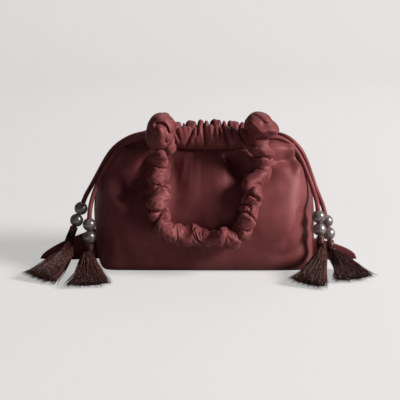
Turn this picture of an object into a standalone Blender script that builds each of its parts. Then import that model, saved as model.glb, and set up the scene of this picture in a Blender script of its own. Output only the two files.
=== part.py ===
"""Drawstring pouch of gathered satin, standing on its base, with a ruched handle and beaded tassels.

Metres, +Z up. The front of the pouch faces -Y and its width runs along X. The floor is at z = 0.
"""

import math

import bmesh
import bpy
import numpy as np
from mathutils import Vector

# Cloth
CLOTH = 0.0012  # thickness of the satin with its backing
GAP = 0.0003  # left between pieces that are sewn or rest together
LAYER = CLOTH + GAP / 2  # outer face of one layer, from the plane in which two are sewn
FLANGE = 0.0018  # width of the sewn edge that stands out along the sides

# Body of the pouch, measured from the plane of its side seams
SEAM_Y = 0.006  # the seams lie this far behind the middle of the base
BASE_DEPTH = 0.047  # from the bottom seam to the front or back edge of the base
BELLY_DEPTH = 0.070  # pull of the belly's curve low down
BELLY_Z = 0.008
CHEST_DEPTH = 0.062  # pull of the same curve high up
CHEST_Z = 0.095
BODY_HALF = 0.1310  # half of the width where the corners begin
HIP_HALF = 0.1335  # pull of the side outline, low
HIP_Z = 0.085
SHOULDER_HALF = 0.1245  # pull of the side outline, high
SHOULDER_Z = 0.137
MOUTH_HALF = 0.072  # half of the gathered width at the mouth
MOUTH_DEPTH = 0.020  # from the seam plane to the middle of each casing
MOUTH_SHIFT = 0.007  # the mouth leans this far to the right
BELLY_SHIFT = -0.002  # and the belly this far to the left
CASING_Z = 0.138  # seam under the casing, at the middle
SIDE_TOP_Z = 0.154  # top of the side seams
EDGE_V = 0.2  # share of each panel that lies on the floor
FLAT_SHARE = 0.86  # share of the half width over which the base is flat

# Corners of the cloth, which stick out as ears: left, right
EAR_REACH = (0.066, 0.050)
EAR_RISE = (0.038, 0.026)
EAR_CURVE = (0.62, 0.42)
EAR_TIP_Z = 0.005
EAR_FORWARD = 0.016  # the tips swing this far to the front
EAR_PUFF = 0.003

# Gathers and soft dents: (place across, place up, half width across, half height, depth)
PLEATS = 9
PLEAT_DEPTH = 0.0018
DENTS = (
    (-0.66, 0.80, 0.17, 0.10, 0.010),
    (0.30, 0.88, 0.10, 0.07, 0.006),
    (0.66, 0.83, 0.13, 0.07, 0.007),
    (-0.10, 0.62, 0.20, 0.18, 0.004),
    (-0.70, 0.45, 0.08, 0.20, 0.003),
)
BACK_FOLDS = 6.2  # broad folds that fall from the rear casing, across the whole width
BACK_FOLD_DEPTH = 0.0026

# Casings that the drawstrings run in
CASING_HALF = 0.058  # half of a casing's length
CASING_HEIGHT = 0.029
CASING_END_DROP = 0.010  # a casing is this much lower at its ends
CASING_THICK = 0.0088  # half of its thickness, at the middle
CASING_END_THIN = 0.0005
SCALLOP = 0.0015

# Drawstrings
CORD = 0.0055
CORD_IN_BEAD = 0.0040
CORD_LEVELS = (0.0036, -0.0036)  # left and right string, from the casing's middle height
CORD_STEP = 2 * CORD
U_TURN = 0.0075  # how far a string's turn stands out of the casings' far ends
U_RISE = 0.003  # rise of the upper string's turn
OFF_BODY = CORD / 2 + 5 * GAP  # middle of a string that lies on the body, from the cloth
RIM_PLACE = 0.90  # where the strings cross the rim of the mouth, as a share of its half width

# Beads and tassels
BEAD = 0.0155
BEAD_HOLE = 0.0050
BEAD_POLE = math.sqrt((BEAD / 2) ** 2 - (BEAD_HOLE / 2) ** 2)  # middle of a bead to its hole's rim
BEAD_LEAD = 0.006  # straight cord above the upper bead
BINDING = 0.0092
BINDING_LENGTH = 0.0095
SKIRT_NECK = 0.0040
SKIRT_HALF_THICK = 0.0085
SKIRT_END_HALF_THICK = 0.0042

# Handle
HANDLE_CORE = 0.0080
HANDLE_END = 0.0068  # radius where it is sewn in
HANDLE_CREST = 0.0090  # radius where it goes over the casing
HANDLE_KNOB = 0.0150  # radius of the puff below that
HANDLE_TUBE = 0.0108
RUCHES = 21
RUCHE_DEPTH = 0.12

# Mesh densities
FRONT_CELLS = (38, 16)
BACK_CELLS = (34, 13)
FRONT_CASING_CELLS = (30, 8)
BACK_CASING_CELLS = (26, 8)
HANDLE_CELLS = (9, 58, 30)
BEAD_STEPS = 12
SKIRT_CELLS = (12, 6)

# Colours, linear, with roughness and metallic
SATIN = ((0.150, 0.040, 0.043, 1.0), 0.45, 0.0)
CORD_SATIN = ((0.130, 0.035, 0.038, 1.0), 0.40, 0.0)
CORE_COTTON = ((0.500, 0.440, 0.400, 1.0), 0.90, 0.0)
DARK_PEARL = ((0.130, 0.120, 0.125, 1.0), 0.18, 0.6)
SILK_THREAD = ((0.045, 0.016, 0.016, 1.0), 0.40, 0.0)
BINDING_THREAD = ((0.120, 0.030, 0.022, 1.0), 0.35, 0.0)

FRONT, BACK = -1, 1


def clear_scene():
    for obj in list(bpy.data.objects):
        bpy.data.objects.remove(obj, do_unlink=True)


def pouch_collection():
    collection = bpy.data.collections.new("drawstring_pouch")
    bpy.context.scene.collection.children.link(collection)
    return collection


def material(name, look):
    colour, roughness, metallic = look
    made = bpy.data.materials.new(name)
    made.use_nodes = True
    shader = made.node_tree.nodes["Principled BSDF"]
    shader.inputs["Base Color"].default_value = colour
    shader.inputs["Roughness"].default_value = roughness
    shader.inputs["Metallic"].default_value = metallic
    made.diffuse_color = colour
    return made


def smooth_step(t):
    t = min(1.0, max(0.0, t))
    return t * t * (3 - 2 * t)


def bezier(points, t):
    """A point on the cubic curve with these four control points."""
    a, b, c, d = (np.array(p, float) for p in points)
    u = 1 - t
    return u**3 * a + 3 * u * u * t * b + 3 * u * t * t * c + t**3 * d


def keyed(keys, t):
    """A value that runs smoothly through (place, value) pairs."""
    places = [k[0] for k in keys]
    values = [k[1] for k in keys]
    if t <= places[0]:
        return values[0]
    for i in range(len(keys) - 1):
        if t <= places[i + 1]:
            share = smooth_step((t - places[i]) / (places[i + 1] - places[i]))
            return values[i] + (values[i + 1] - values[i]) * share
    return values[-1]


def spline_points(route, step):
    """Points about step apart on a smooth curve through the route's own points."""
    route = [np.array(p, float) for p in route]
    padded = [2 * route[0] - route[1], *route, 2 * route[-1] - route[-2]]
    fine = [route[0]]
    for p0, p1, p2, p3 in zip(padded, padded[1:], padded[2:], padded[3:]):
        for k in range(1, 13):
            t = k / 12
            fine.append(
                0.5
                * (
                    2 * p1
                    + (p2 - p0) * t
                    + (2 * p0 - 5 * p1 + 4 * p2 - p3) * t * t
                    + (3 * p1 - p0 - 3 * p2 + p3) * t**3
                )
            )
    return resampled(np.array(fine), step=step)


def resampled(line, step=None, count=None):
    """The line with evenly spaced points: about step apart, or count of them."""
    along = np.concatenate([[0], np.cumsum(np.linalg.norm(np.diff(line, axis=0), axis=1))])
    if count is None:
        count = max(2, round(along[-1] / step) + 1)
    at = np.linspace(0, along[-1], count)
    return np.stack([np.interp(at, along, line[:, k]) for k in range(3)], axis=1)


def pleat(s):
    """Gathers across the mouth, from -1 to 1. s is the share of the mouth's half width."""
    turn = math.pi * PLEATS * s * MOUTH_HALF / CASING_HALF
    return 0.7 * math.cos(turn + 0.6 * math.sin(2.3 * s)) + 0.3 * math.cos(1.7 * turn + 1.0)


def seam_layer(a):
    """How far the outer face is from the seam plane where the panel has no depth of its own."""
    return GAP / 2 + (LAYER - GAP / 2) * smooth_step((a - 0.9) / 0.1)


def roundness(v):
    """How square the pouch is in plan at this height: higher is squarer."""
    return keyed(((0.2, 16.0), (0.45, 7.0), (0.8, 3.6), (1.0, 6.0)), v)


def lift(a, t):
    """How far a row of the cloth has risen from its middle towards its end at the side."""
    low = max(0.0, (a - FLAT_SHARE) / (1 - FLAT_SHARE)) ** 4
    return low + (a**3.5 - low) * smooth_step(t / 0.6)


def folds(s, v, face):
    """Depth that the gathers and folds add and the soft dents take away."""
    depth = PLEAT_DEPTH * pleat(s) * smooth_step((v - 0.75) / 0.25) * (1 - abs(s) ** 8)
    if face == BACK:
        reach = smooth_step((v - 0.4) / 0.25) * smooth_step((1.02 - v) / 0.2)
        return depth + BACK_FOLD_DEPTH * reach * math.cos(math.pi * BACK_FOLDS * s + math.sin(3 * s))
    for at_s, at_v, wide, high, dent in DENTS:
        depth -= dent * math.exp(-(((s - at_s) / wide) ** 2) - ((v - at_v) / high) ** 2)
    return depth


def sway(t):
    """How far the middle of the cloth is off the plane x = 0, from the floor to the mouth."""
    return MOUTH_SHIFT * t * t + BELLY_SHIFT * 4 * t * (1 - t)


def body_point(s, v, face):
    """A point of a panel's outer face: s from -1 at the left seam to 1, v from 0 at the bottom seam to 1."""
    a = abs(s)
    t = max(0.0, (v - EDGE_V) / (1 - EDGE_V))
    rise = EAR_RISE[s > 0]
    if v < EDGE_V:
        depth, z = BASE_DEPTH * v / EDGE_V, 0.0
        half, side_z = BODY_HALF, rise * v / EDGE_V
    else:
        belly = (
            (BASE_DEPTH, 0.0),
            (BELLY_DEPTH, BELLY_Z),
            (CHEST_DEPTH, CHEST_Z),
            (MOUTH_DEPTH, CASING_Z),
        )
        side = (
            (BODY_HALF, rise),
            (HIP_HALF, HIP_Z),
            (SHOULDER_HALF, SHOULDER_Z),
            (MOUTH_HALF, SIDE_TOP_Z),
        )
        depth, z = bezier(belly, t)
        half, side_z = bezier(side, t)
    swell = math.sqrt(max(0.0, 1 - a ** roundness(v)))
    depth = seam_layer(a) + (depth + folds(s, v, face)) * swell
    return np.array(
        (
            sway(t) + s * half,
            SEAM_Y + face * depth,
            z + (side_z - z) * lift(a, t),
        )
    )


def ear_point(side, x_out, v, face):
    """A point of the flat corner, x_out beyond the body, on the row of cloth at v."""
    reach, rise, curve = (k[side > 0] for k in (EAR_REACH, EAR_RISE, EAR_CURVE))
    share = min(1.0, x_out / (reach + FLANGE))
    row_top = EDGE_V * min(1.0, 1 - (x_out - FLANGE) / reach)
    up = min(1.0, v / row_top) if row_top > 1e-6 else 1.0
    low = EAR_TIP_Z * share**3
    high = EAR_TIP_Z + (rise - EAR_TIP_Z) * (1 - share) ** curve
    puff = EAR_PUFF * math.sin(math.pi * up) * 4 * share * (1 - share)
    return np.array(
        (
            side * (BODY_HALF + x_out),
            SEAM_Y - EAR_FORWARD * share**1.3 + face * (LAYER + puff),
            low + (high - low) * up,
        )
    )


def row_end(side, v, face):
    """The stretch of a row beyond the body: the ear low down, the sewn flange above. From the body outwards."""
    if v < EDGE_V:
        width = FLANGE + EAR_REACH[side > 0] * (1 - v / EDGE_V)
        return [ear_point(side, width * k / 12, v, face) for k in range(1, 13)]
    end = body_point(side, v, face)
    return [end + np.array((side * FLANGE, 0, 0))]


def panel_row(v, face, columns):
    places = [k / 60 for k in range(-60, 61)]
    body = [body_point(math.copysign(1 - (1 - abs(w)) ** 2.5, w), v, face) for w in places]
    line = [*reversed(row_end(-1, v, face)), *body, *row_end(1, v, face)]
    return resampled(np.array(line), count=columns + 1)


def grid_object(collection, name, cells, place, look):
    """A grid of cloth whose vertices are put in place by place(column, row)."""
    columns, rows = cells
    bpy.ops.mesh.primitive_grid_add(x_subdivisions=columns, y_subdivisions=rows, size=2)
    obj = bpy.context.object
    obj.name = obj.data.name = name
    for vertex in obj.data.vertices:
        column = round((vertex.co.x + 1) / 2 * columns)
        row = round((vertex.co.y + 1) / 2 * rows)
        vertex.co = Vector(place(column, row))
    return keep(collection, obj, look)


def keep(collection, obj, look):
    for old in list(obj.users_collection):
        old.objects.unlink(obj)
    collection.objects.link(obj)
    obj.data.materials.clear()
    obj.data.materials.append(look)
    return obj


def edit_mesh(obj, change):
    """Runs change(bm) on the object's mesh."""
    bm = bmesh.new()
    bm.from_mesh(obj.data)
    change(bm)
    bm.to_mesh(obj.data)
    bm.free()
    obj.data.update()


def give_wall(obj, inward=True):
    """Turns an open sheet into a closed wall of the cloth's thickness, on the inner side."""
    modifier = obj.modifiers.new("wall", "SOLIDIFY")
    modifier.thickness = CLOTH
    modifier.offset = -1 if inward else 1
    modifier.use_even_offset = False
    bpy.context.view_layer.objects.active = obj
    bpy.ops.object.modifier_apply(modifier=modifier.name)


def make_panel(collection, name, face, cells, look):
    columns, rows = cells
    table = [panel_row(j / rows, face, columns) for j in range(rows + 1)]
    obj = grid_object(collection, name, cells, lambda i, j: table[j][i], look)
    if face == BACK:
        obj.data.flip_normals()
    give_wall(obj)
    limit = SEAM_Y + face * GAP / 2
    for vertex in obj.data.vertices:
        ear_y = SEAM_Y - EAR_FORWARD * ear_share(vertex.co.x) ** 1.3 + face * GAP / 2
        edge = min(limit, ear_y) if face == FRONT else max(limit - EAR_FORWARD, ear_y)
        vertex.co.y = min(vertex.co.y, edge) if face == FRONT else max(vertex.co.y, edge)
        vertex.co.z = max(vertex.co.z, 0.0)
    obj.data.shade_smooth()
    return obj


def ear_share(x):
    reach = EAR_REACH[x > 0] + FLANGE
    return min(1.0, max(0.0, (abs(x) - BODY_HALF) / reach))


def casing_middle(along, face):
    """Middle of a casing's section, with its half thickness and half height. along runs from -1 to 1."""
    s = along * CASING_HALF / MOUTH_HALF
    seam = body_point(s, 1.0, face)
    height = CASING_HEIGHT - CASING_END_DROP * along * along
    thick = CASING_THICK - CASING_END_THIN * along * along
    return seam + np.array((0, 0, 2 * GAP + height / 2)), thick, height / 2, s


def make_casing(collection, name, face, cells, look):
    columns, around = cells

    def place(i, j):
        middle, thick, half_height, s = casing_middle(2 * i / columns - 1, face)
        angle = 2 * math.pi * j / around - math.pi / 2
        across, up = math.cos(angle), math.sin(angle)
        gather = PLEAT_DEPTH * 0.6 * pleat(s)
        scallop = SCALLOP * pleat(s) * max(0.0, up)
        return middle + np.array((0, -(thick + gather) * across, half_height * up + scallop))

    obj = grid_object(collection, name, cells, place, look)
    edit_mesh(obj, lambda bm: bmesh.ops.remove_doubles(bm, verts=bm.verts, dist=1e-6))
    edit_mesh(obj, lambda bm: bmesh.ops.recalc_face_normals(bm, faces=bm.faces))
    give_wall(obj, inward=faces_out(obj))
    obj.data.shade_smooth()
    return obj


def faces_out(obj):
    """Whether the faces of an open tube point away from its middle."""
    middle = sum((v.co for v in obj.data.vertices), Vector()) / len(obj.data.vertices)
    face = max(obj.data.polygons, key=lambda p: p.center.z)
    return face.normal.dot(face.center - middle) > 0


def skin_at(x, z):
    """y of the front panel at a place seen from the front."""
    low, high = EDGE_V, 1.0
    for _ in range(24):
        v = (low + high) / 2
        if skin_sample(x, v)[2] < z:
            low = v
        else:
            high = v
    return skin_sample(x, v)[1]


def skin_sample(x, v):
    t = (v - EDGE_V) / (1 - EDGE_V)
    u = 1 - t
    half = (
        u**3 * BODY_HALF
        + 3 * u * u * t * HIP_HALF
        + 3 * u * t * t * SHOULDER_HALF
        + t**3 * MOUTH_HALF
    )
    s = (x - sway(t)) / half
    return body_point(max(-1.0, min(1.0, s)), v, FRONT)


def skin_slant(x, z, step=0.002):
    """How much longer a step off the front panel is along Y than straight off the cloth."""
    rise = (skin_at(x, z + step) - skin_at(x, z - step)) / (2 * step)
    turn = (skin_at(x + step, z) - skin_at(x - step, z)) / (2 * step)
    return math.sqrt(1 + rise**2 + turn**2)


def off_body(s, v, face):
    """Where a string lies on the body. Face 0 is the edge of the sewn flange at the side."""
    if face == 0:
        side = math.copysign(1.0, s)
        rise = body_point(side, v + 0.01, FRONT) - body_point(side, v - 0.01, FRONT)
        out = side * np.array((rise[2], 0, -rise[0])) / np.linalg.norm(rise)
        edge = body_point(side, v, FRONT) + np.array((side * FLANGE, LAYER, 0))
        return edge + out * (OFF_BODY + 4 * GAP)
    across = body_point(s + 0.01, v, face) - body_point(s - 0.01, v, face)
    up = body_point(s, min(1.0, v + 0.01), face) - body_point(s, v - 0.01, face)
    normal = face * np.cross(up, across)
    return body_point(s, v, face) + normal / np.linalg.norm(normal) * OFF_BODY


def handle_route():
    """Middle line of the handle: out of the mouth at the left, down the front and back in at the right."""
    hang = (
        (-0.0510, 0.128),
        (-0.0540, 0.113),
        (-0.0535, 0.099),
        (-0.0540, 0.085),
        (-0.0508, 0.073),
        (-0.0455, 0.061),
        (-0.0370, 0.053),
        (-0.0240, 0.048),
        (-0.0090, 0.046),
        (0.0040, 0.047),
        (0.0170, 0.046),
        (0.0300, 0.048),
        (0.0410, 0.054),
        (0.0465, 0.063),
        (0.0480, 0.074),
        (0.0520, 0.087),
        (0.0555, 0.100),
        (0.0615, 0.112),
        (0.0665, 0.124),
    )
    off_skin = HANDLE_TUBE * (1 + RUCHE_DEPTH) + 4 * GAP
    middle = [(x, skin_at(x, z) - off_skin * skin_slant(x, z), z) for x, z in hang]
    ends = []
    for side in (-1, 1):
        seat, thick, half_height, _ = casing_middle(side * 0.93, FRONT)
        rim = seat[2] + half_height + SCALLOP
        front_face = seat[1] - thick - PLEAT_DEPTH
        ends.append(
            [
                (seat[0], SEAM_Y, seat[2] - 0.3 * half_height),
                (seat[0], SEAM_Y, rim - 0.003),
                (seat[0], seat[1] + 0.35 * (SEAM_Y - seat[1]), rim + HANDLE_CREST + 2 * GAP),
                (seat[0], front_face - 0.0115, rim + 0.5 * HANDLE_CREST),
                (seat[0] + side * 0.001, front_face - HANDLE_KNOB - 0.004, seat[2] + 0.002),
            ]
        )
    return [*ends[0], *middle, *reversed(ends[1])]


def tube_rings(points, radii, sides):
    """Rings of points round a line, turned as little as possible from one to the next."""
    rings = []
    across = Vector((1, 0, 0))
    for i, point in enumerate(points):
        ahead = Vector(points[min(i + 1, len(points) - 1)] - points[max(i - 1, 0)]).normalized()
        across = (across - ahead * across.dot(ahead)).normalized()
        up = ahead.cross(across)
        rings.append(
            [
                Vector(point)
                + radii[i] * (math.cos(a) * across + math.sin(a) * up)
                for a in (2 * math.pi * k / sides for k in range(sides))
            ]
        )
    return rings


def handle_radius(share):
    keys = (
        (0.0, HANDLE_END),
        (0.035, HANDLE_END),
        (0.075, HANDLE_CREST),
        (0.125, HANDLE_KNOB),
        (0.18, HANDLE_TUBE),
    )
    return keyed(keys, min(share, 1 - share))


def ruche(share):
    calm = smooth_step((min(share, 1 - share) - 0.06) / 0.05)
    return RUCHE_DEPTH * calm * math.cos(2 * math.pi * RUCHES * share)


def make_handle_cover(collection, look):
    """The ruched tube: its outside from one end to the other, and back through its bore."""
    sides, outer_rows, bore_rows = HANDLE_CELLS
    route = spline_points(handle_route(), 0.002)
    outer = resampled(route, count=outer_rows + 1)
    bore = resampled(route, count=bore_rows + 1)
    radii = [
        handle_radius(j / outer_rows) * (1 + ruche(j / outer_rows))
        for j in range(outer_rows + 1)
    ]
    rings = tube_rings(outer, radii, sides)
    bore_radius = (HANDLE_CORE / 2 + GAP) / math.cos(math.pi / sides) + GAP
    bore_rings = tube_rings(bore, [bore_radius] * (bore_rows + 1), sides)
    rings += list(reversed(bore_rings))
    last = len(rings)
    obj = grid_object(
        collection,
        "handle_cover",
        (sides, last),
        lambda i, j: rings[j % last][i % sides],
        look,
    )
    edit_mesh(obj, lambda bm: bmesh.ops.remove_doubles(bm, verts=bm.verts, dist=1e-6))
    edit_mesh(obj, lambda bm: bmesh.ops.recalc_face_normals(bm, faces=bm.faces))
    obj.data.shade_smooth()
    return route


def cord_object(collection, name, points, look, radii=None, resolution=2):
    """A round cord along these points, as a curve with filled caps."""
    curve = bpy.data.curves.new(name, "CURVE")
    curve.dimensions = "3D"
    curve.bevel_depth = 1.0
    curve.bevel_resolution = resolution
    curve.use_fill_caps = True
    spline = curve.splines.new("POLY")
    spline.points.add(len(points) - 1)
    for i, point in enumerate(points):
        spline.points[i].co = (*point, 1.0)
        spline.points[i].radius = radii[i]
    curve.materials.append(look)
    obj = bpy.data.objects.new(name, curve)
    collection.objects.link(obj)
    return obj


def make_handle_core(collection, route, look):
    points = resampled(route, count=HANDLE_CELLS[2] + 1)
    core = cord_object(
        collection, "handle_core", points, look, radii=[HANDLE_CORE / 2] * len(points)
    )
    return core


# Where each string's two ends hang: the places on the body that the string runs over, as
# (across, up, face), the points that it hangs through on its way to the beads, the middle of
# the upper bead, the way down through both beads, and the tassel's middle line down to the
# floor with half of its width there.
HANGS = {
    ("left", "front"): {
        "over": (
            (-0.970, 0.985, FRONT),
            (-0.990, 0.94, FRONT),
            (-0.992, 0.87, FRONT),
            (-0.990, 0.80, FRONT),
            (-0.985, 0.74, FRONT),
        ),
        "free": ((-0.1293, -0.0150, 0.0940), (-0.1320, -0.0300, 0.0810)),
        "bead": (-0.1347, -0.0400, 0.0557),
        "down": (0.000, -0.06, -1.0),
        "fan": ((-0.1350, -0.0600, 0.0200), (-0.1320, -0.0830, 0.0085), (-0.1290, -0.1080, 0.0042)),
        "fan_width": 0.0280,
    },
    ("left", "back"): {
        "over": (
            (-0.95, 0.985, BACK),
            (-0.975, 0.95, BACK),
            (-1.0, 0.92, 0),
            (-1.0, 0.87, 0),
            (-1.0, 0.81, 0),
            (-1.0, 0.755, 0),
        ),
        "free": ((-0.1382, 0.0020, 0.0880),),
        "bead": (-0.1467, -0.0180, 0.0693),
        "down": (-0.38, -0.20, -1.0),
        "fan": ((-0.1620, -0.0440, 0.0220), (-0.1750, -0.0640, 0.0100), (-0.1890, -0.0880, 0.0042)),
        "fan_width": 0.0250,
    },
    ("right", "front"): {
        "over": (
            (0.970, 0.985, FRONT),
            (0.990, 0.94, FRONT),
            (0.992, 0.87, FRONT),
            (0.990, 0.80, FRONT),
            (0.985, 0.74, FRONT),
        ),
        "free": ((0.1262, -0.0160, 0.0950), (0.1300, -0.0310, 0.0810)),
        "bead": (0.1316, -0.0400, 0.0650),
        "down": (0.10, -0.10, -1.0),
        "fan": ((0.1320, -0.0620, 0.0220), (0.1230, -0.0820, 0.0100), (0.1120, -0.1060, 0.0042)),
        "fan_width": 0.0240,
    },
    ("right", "back"): {
        "over": (
            (0.95, 0.985, BACK),
            (0.975, 0.95, BACK),
            (1.0, 0.92, 0),
            (1.0, 0.87, 0),
            (1.0, 0.81, 0),
            (1.0, 0.755, 0),
        ),
        "free": ((0.1328, 0.0020, 0.0890), (0.1380, -0.0090, 0.0750)),
        "bead": (0.1438, -0.0200, 0.0541),
        "down": (0.19, -0.12, -1.0),
        "fan": ((0.1530, -0.0400, 0.0160), (0.1620, -0.0600, 0.0095), (0.1680, -0.0880, 0.0042)),
        "fan_width": 0.0270,
    },
}


def bead_line(hang):
    """The straight stretch of cord through both beads: its start, direction and length."""
    down = Vector(hang["down"]).normalized()
    start = Vector(hang["bead"]) - down * (BEAD_POLE + BEAD_LEAD)
    return start, down, BEAD_LEAD + 4 * BEAD_POLE + GAP


def free_end(side, end, level):
    """Points of one hanging end from the mouth's rim to the lower bead, with their radii."""
    hang = HANGS[side, end]
    sign = -1 if side == "left" else 1
    rim = body_point(sign * RIM_PLACE, 1.0, FRONT if end == "front" else BACK)
    rim = rim + np.array((0, 0, OFF_BODY + 2 * max(0.0, level)))
    start, down, length = bead_line(hang)
    lead_in = start - down * BEAD_LEAD
    over = [off_body(*place) for place in hang["over"]]
    points = spline_points([rim, *over, *hang["free"], tuple(lead_in), tuple(start)], CORD_STEP)
    radii = [CORD / 2] * len(points)
    ends = (start + down * 0.004, start + down * length)
    points = np.vstack([points, *[np.array(p)[None] for p in ends]])
    return points, [*radii, CORD_IN_BEAD / 2, CORD_IN_BEAD / 2]


def make_drawstring(collection, side, look):
    """One string: in along the front casing, round the far end and back along the rear casing."""
    sign = -1 if side == "left" else 1
    level = CORD_LEVELS[side == "right"]
    front_end, front_radii = free_end(side, "front", level)
    back_end, back_radii = free_end(side, "back", level)
    up = np.array((0, 0, level))
    stops = [sign * (1 - k / 5) for k in range(11)]
    front, back = ([casing_middle(a, f)[0] + up for a in stops] for f in (FRONT, BACK))
    turn = []
    for k in range(1, 8):
        angle = math.pi * k / 8
        share = (1 - math.cos(angle)) / 2
        rise = U_RISE * math.sin(angle) if level > 0 else 0.0
        out = np.array((-sign * U_TURN * math.sin(angle), 0, rise))
        turn.append(front[-1] * (1 - share) + back[-1] * share + out)
    hidden = [*front, *turn, *reversed(back)]
    points = np.vstack([front_end[::-1], hidden, back_end])
    radii = [*reversed(front_radii), *[CORD / 2] * len(hidden), *back_radii]
    return cord_object(collection, f"drawstring_{side}", points, look, radii=radii)


def turned_object(collection, name, profile, steps, look):
    """A turned piece: a closed profile of (radius, height) points turned round Z."""
    mesh = bpy.data.meshes.new(name)
    count = len(profile)
    mesh.from_pydata(
        [(r, 0, z) for r, z in profile], [(i, (i + 1) % count) for i in range(count)], []
    )
    obj = bpy.data.objects.new(name, mesh)
    collection.objects.link(obj)
    screw = obj.modifiers.new("turn", "SCREW")
    screw.axis = "Z"
    screw.steps = screw.render_steps = steps
    screw.use_merge_vertices = True
    screw.merge_threshold = 0.00001
    obj.data.materials.append(look)
    return obj


def stand_along(obj, place, direction):
    obj.location = place
    obj.rotation_mode = "QUATERNION"
    obj.rotation_quaternion = Vector(direction).to_track_quat("Z", "Y")


def make_beads(collection, look):
    """Two round beads on each hanging end."""
    pole = math.asin(BEAD_HOLE / BEAD)
    arc = [pole + (math.pi - 2 * pole) * k / 6 for k in range(7)]
    profile = [(BEAD / 2 * math.sin(a), BEAD / 2 * math.cos(a)) for a in arc]
    for (side, end), hang in HANGS.items():
        _, down, _ = bead_line(hang)
        for k, level in enumerate(("upper", "lower")):
            bead = turned_object(collection, f"bead_{side}_{end}_{level}", profile, BEAD_STEPS, look)
            place = Vector(hang["bead"]) + down * k * (2 * BEAD_POLE + GAP)
            stand_along(bead, place, -down)


def binding_top(hang):
    start, down, length = bead_line(hang)
    return start + down * (length + GAP), down


def make_bindings(collection, look):
    """The thread wound round the neck of each tassel."""
    profile = [
        (0.6 * BINDING / 2, 0.0),
        (BINDING / 2, -0.25 * BINDING_LENGTH),
        (0.92 * BINDING / 2, -0.75 * BINDING_LENGTH),
        (0.75 * BINDING / 2, -BINDING_LENGTH),
    ]
    for (side, end), hang in HANGS.items():
        top, down = binding_top(hang)
        mesh = bpy.data.meshes.new(f"binding_{side}_{end}")
        outline = [(0, 0.0), *profile, (0, -BINDING_LENGTH)]
        mesh.from_pydata(
            [(r, 0, z) for r, z in outline], [(i, i + 1) for i in range(len(outline) - 1)], []
        )
        obj = bpy.data.objects.new(mesh.name, mesh)
        collection.objects.link(obj)
        screw = obj.modifiers.new("turn", "SCREW")
        screw.axis = "Z"
        screw.steps = screw.render_steps = 10
        screw.use_merge_vertices = True
        screw.merge_threshold = 0.00001
        mesh.materials.append(look)
        stand_along(obj, top, -down)


def make_skirts(collection, look):
    """The hanging threads of each tassel, spread in a fan on the floor."""
    around, rows = SKIRT_CELLS
    for (side, end), hang in HANGS.items():
        top, down = binding_top(hang)
        neck = top + down * (BINDING_LENGTH + GAP)
        route = [tuple(neck), tuple(neck + down * 0.006), *hang["fan"]]
        line = resampled(spline_points(route, 0.002), count=rows + 1)
        rings = []
        for j, point in enumerate(line):
            share = j / rows
            wide = SKIRT_NECK + (hang["fan_width"] - SKIRT_NECK) * share**0.85
            thick = keyed(
                ((0, SKIRT_NECK), (0.5, SKIRT_HALF_THICK), (1, SKIRT_END_HALF_THICK)), share
            )
            ahead = Vector(line[min(j + 1, rows)] - line[max(j - 1, 0)]).normalized()
            if j == 0:
                ahead = down
            across = Vector((1, 0, 0)) - ahead * ahead.x
            across.normalize()
            up = ahead.cross(across)
            ring = []
            for k in range(around):
                angle = 2 * math.pi * k / around
                spot = Vector(point) + wide * math.cos(angle) * across + thick * math.sin(angle) * up
                spot.z = max(spot.z, 0.0)
                ring.append(spot)
            rings.append(ring)
        obj = grid_object(
            collection,
            f"tassel_{side}_{end}",
            (around, rows),
            lambda i, j, rings=rings: rings[j][i % around],
            look,
        )
        edit_mesh(obj, close_tube)
        obj.data.shade_smooth()


def close_tube(bm):
    bmesh.ops.remove_doubles(bm, verts=bm.verts, dist=1e-6)
    bmesh.ops.holes_fill(bm, edges=bm.edges)
    bmesh.ops.recalc_face_normals(bm, faces=bm.faces)


def main():
    clear_scene()
    collection = pouch_collection()
    satin = material("satin", SATIN)
    cord = material("cord_satin", CORD_SATIN)
    thread = material("silk_thread", SILK_THREAD)
    make_panel(collection, "front_panel", FRONT, FRONT_CELLS, satin)
    make_panel(collection, "back_panel", BACK, BACK_CELLS, satin)
    make_casing(collection, "front_casing", FRONT, FRONT_CASING_CELLS, satin)
    make_casing(collection, "back_casing", BACK, BACK_CASING_CELLS, satin)
    route = make_handle_cover(collection, satin)
    make_handle_core(collection, route, material("cotton_core", CORE_COTTON))
    make_drawstring(collection, "left", cord)
    make_drawstring(collection, "right", cord)
    make_beads(collection, material("dark_pearl", DARK_PEARL))
    make_bindings(collection, material("binding_thread", BINDING_THREAD))
    make_skirts(collection, thread)


main()
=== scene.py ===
"""The dressed drawstring pouch: gathered satin, a ruched handle, strings, beads and tassels."""

import math
import random

import bmesh
import bpy
import numpy as np
from mathutils import Matrix, Vector, noise
from mathutils.bvhtree import BVHTree


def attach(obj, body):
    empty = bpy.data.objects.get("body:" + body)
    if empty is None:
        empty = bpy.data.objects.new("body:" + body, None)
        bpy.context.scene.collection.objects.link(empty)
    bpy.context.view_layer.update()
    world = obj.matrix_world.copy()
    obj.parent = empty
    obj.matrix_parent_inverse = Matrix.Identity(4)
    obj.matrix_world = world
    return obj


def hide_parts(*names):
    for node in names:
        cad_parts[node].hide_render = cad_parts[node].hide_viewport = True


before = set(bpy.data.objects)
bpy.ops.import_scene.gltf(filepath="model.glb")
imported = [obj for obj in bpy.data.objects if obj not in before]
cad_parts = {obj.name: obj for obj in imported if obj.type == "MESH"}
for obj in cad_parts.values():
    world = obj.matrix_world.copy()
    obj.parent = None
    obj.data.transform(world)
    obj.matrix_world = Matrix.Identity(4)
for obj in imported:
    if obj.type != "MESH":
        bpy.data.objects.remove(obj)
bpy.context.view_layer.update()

# Camera: as far as the photograph's perspective needs, a little above the pouch
CAMERA_AIM = Vector((-0.006, 0.0, 0.075))
CAMERA_DISTANCE = 1.1
CAMERA_HEIGHT_ANGLE = math.radians(14)
CAMERA_LENS = 82.5

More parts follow.
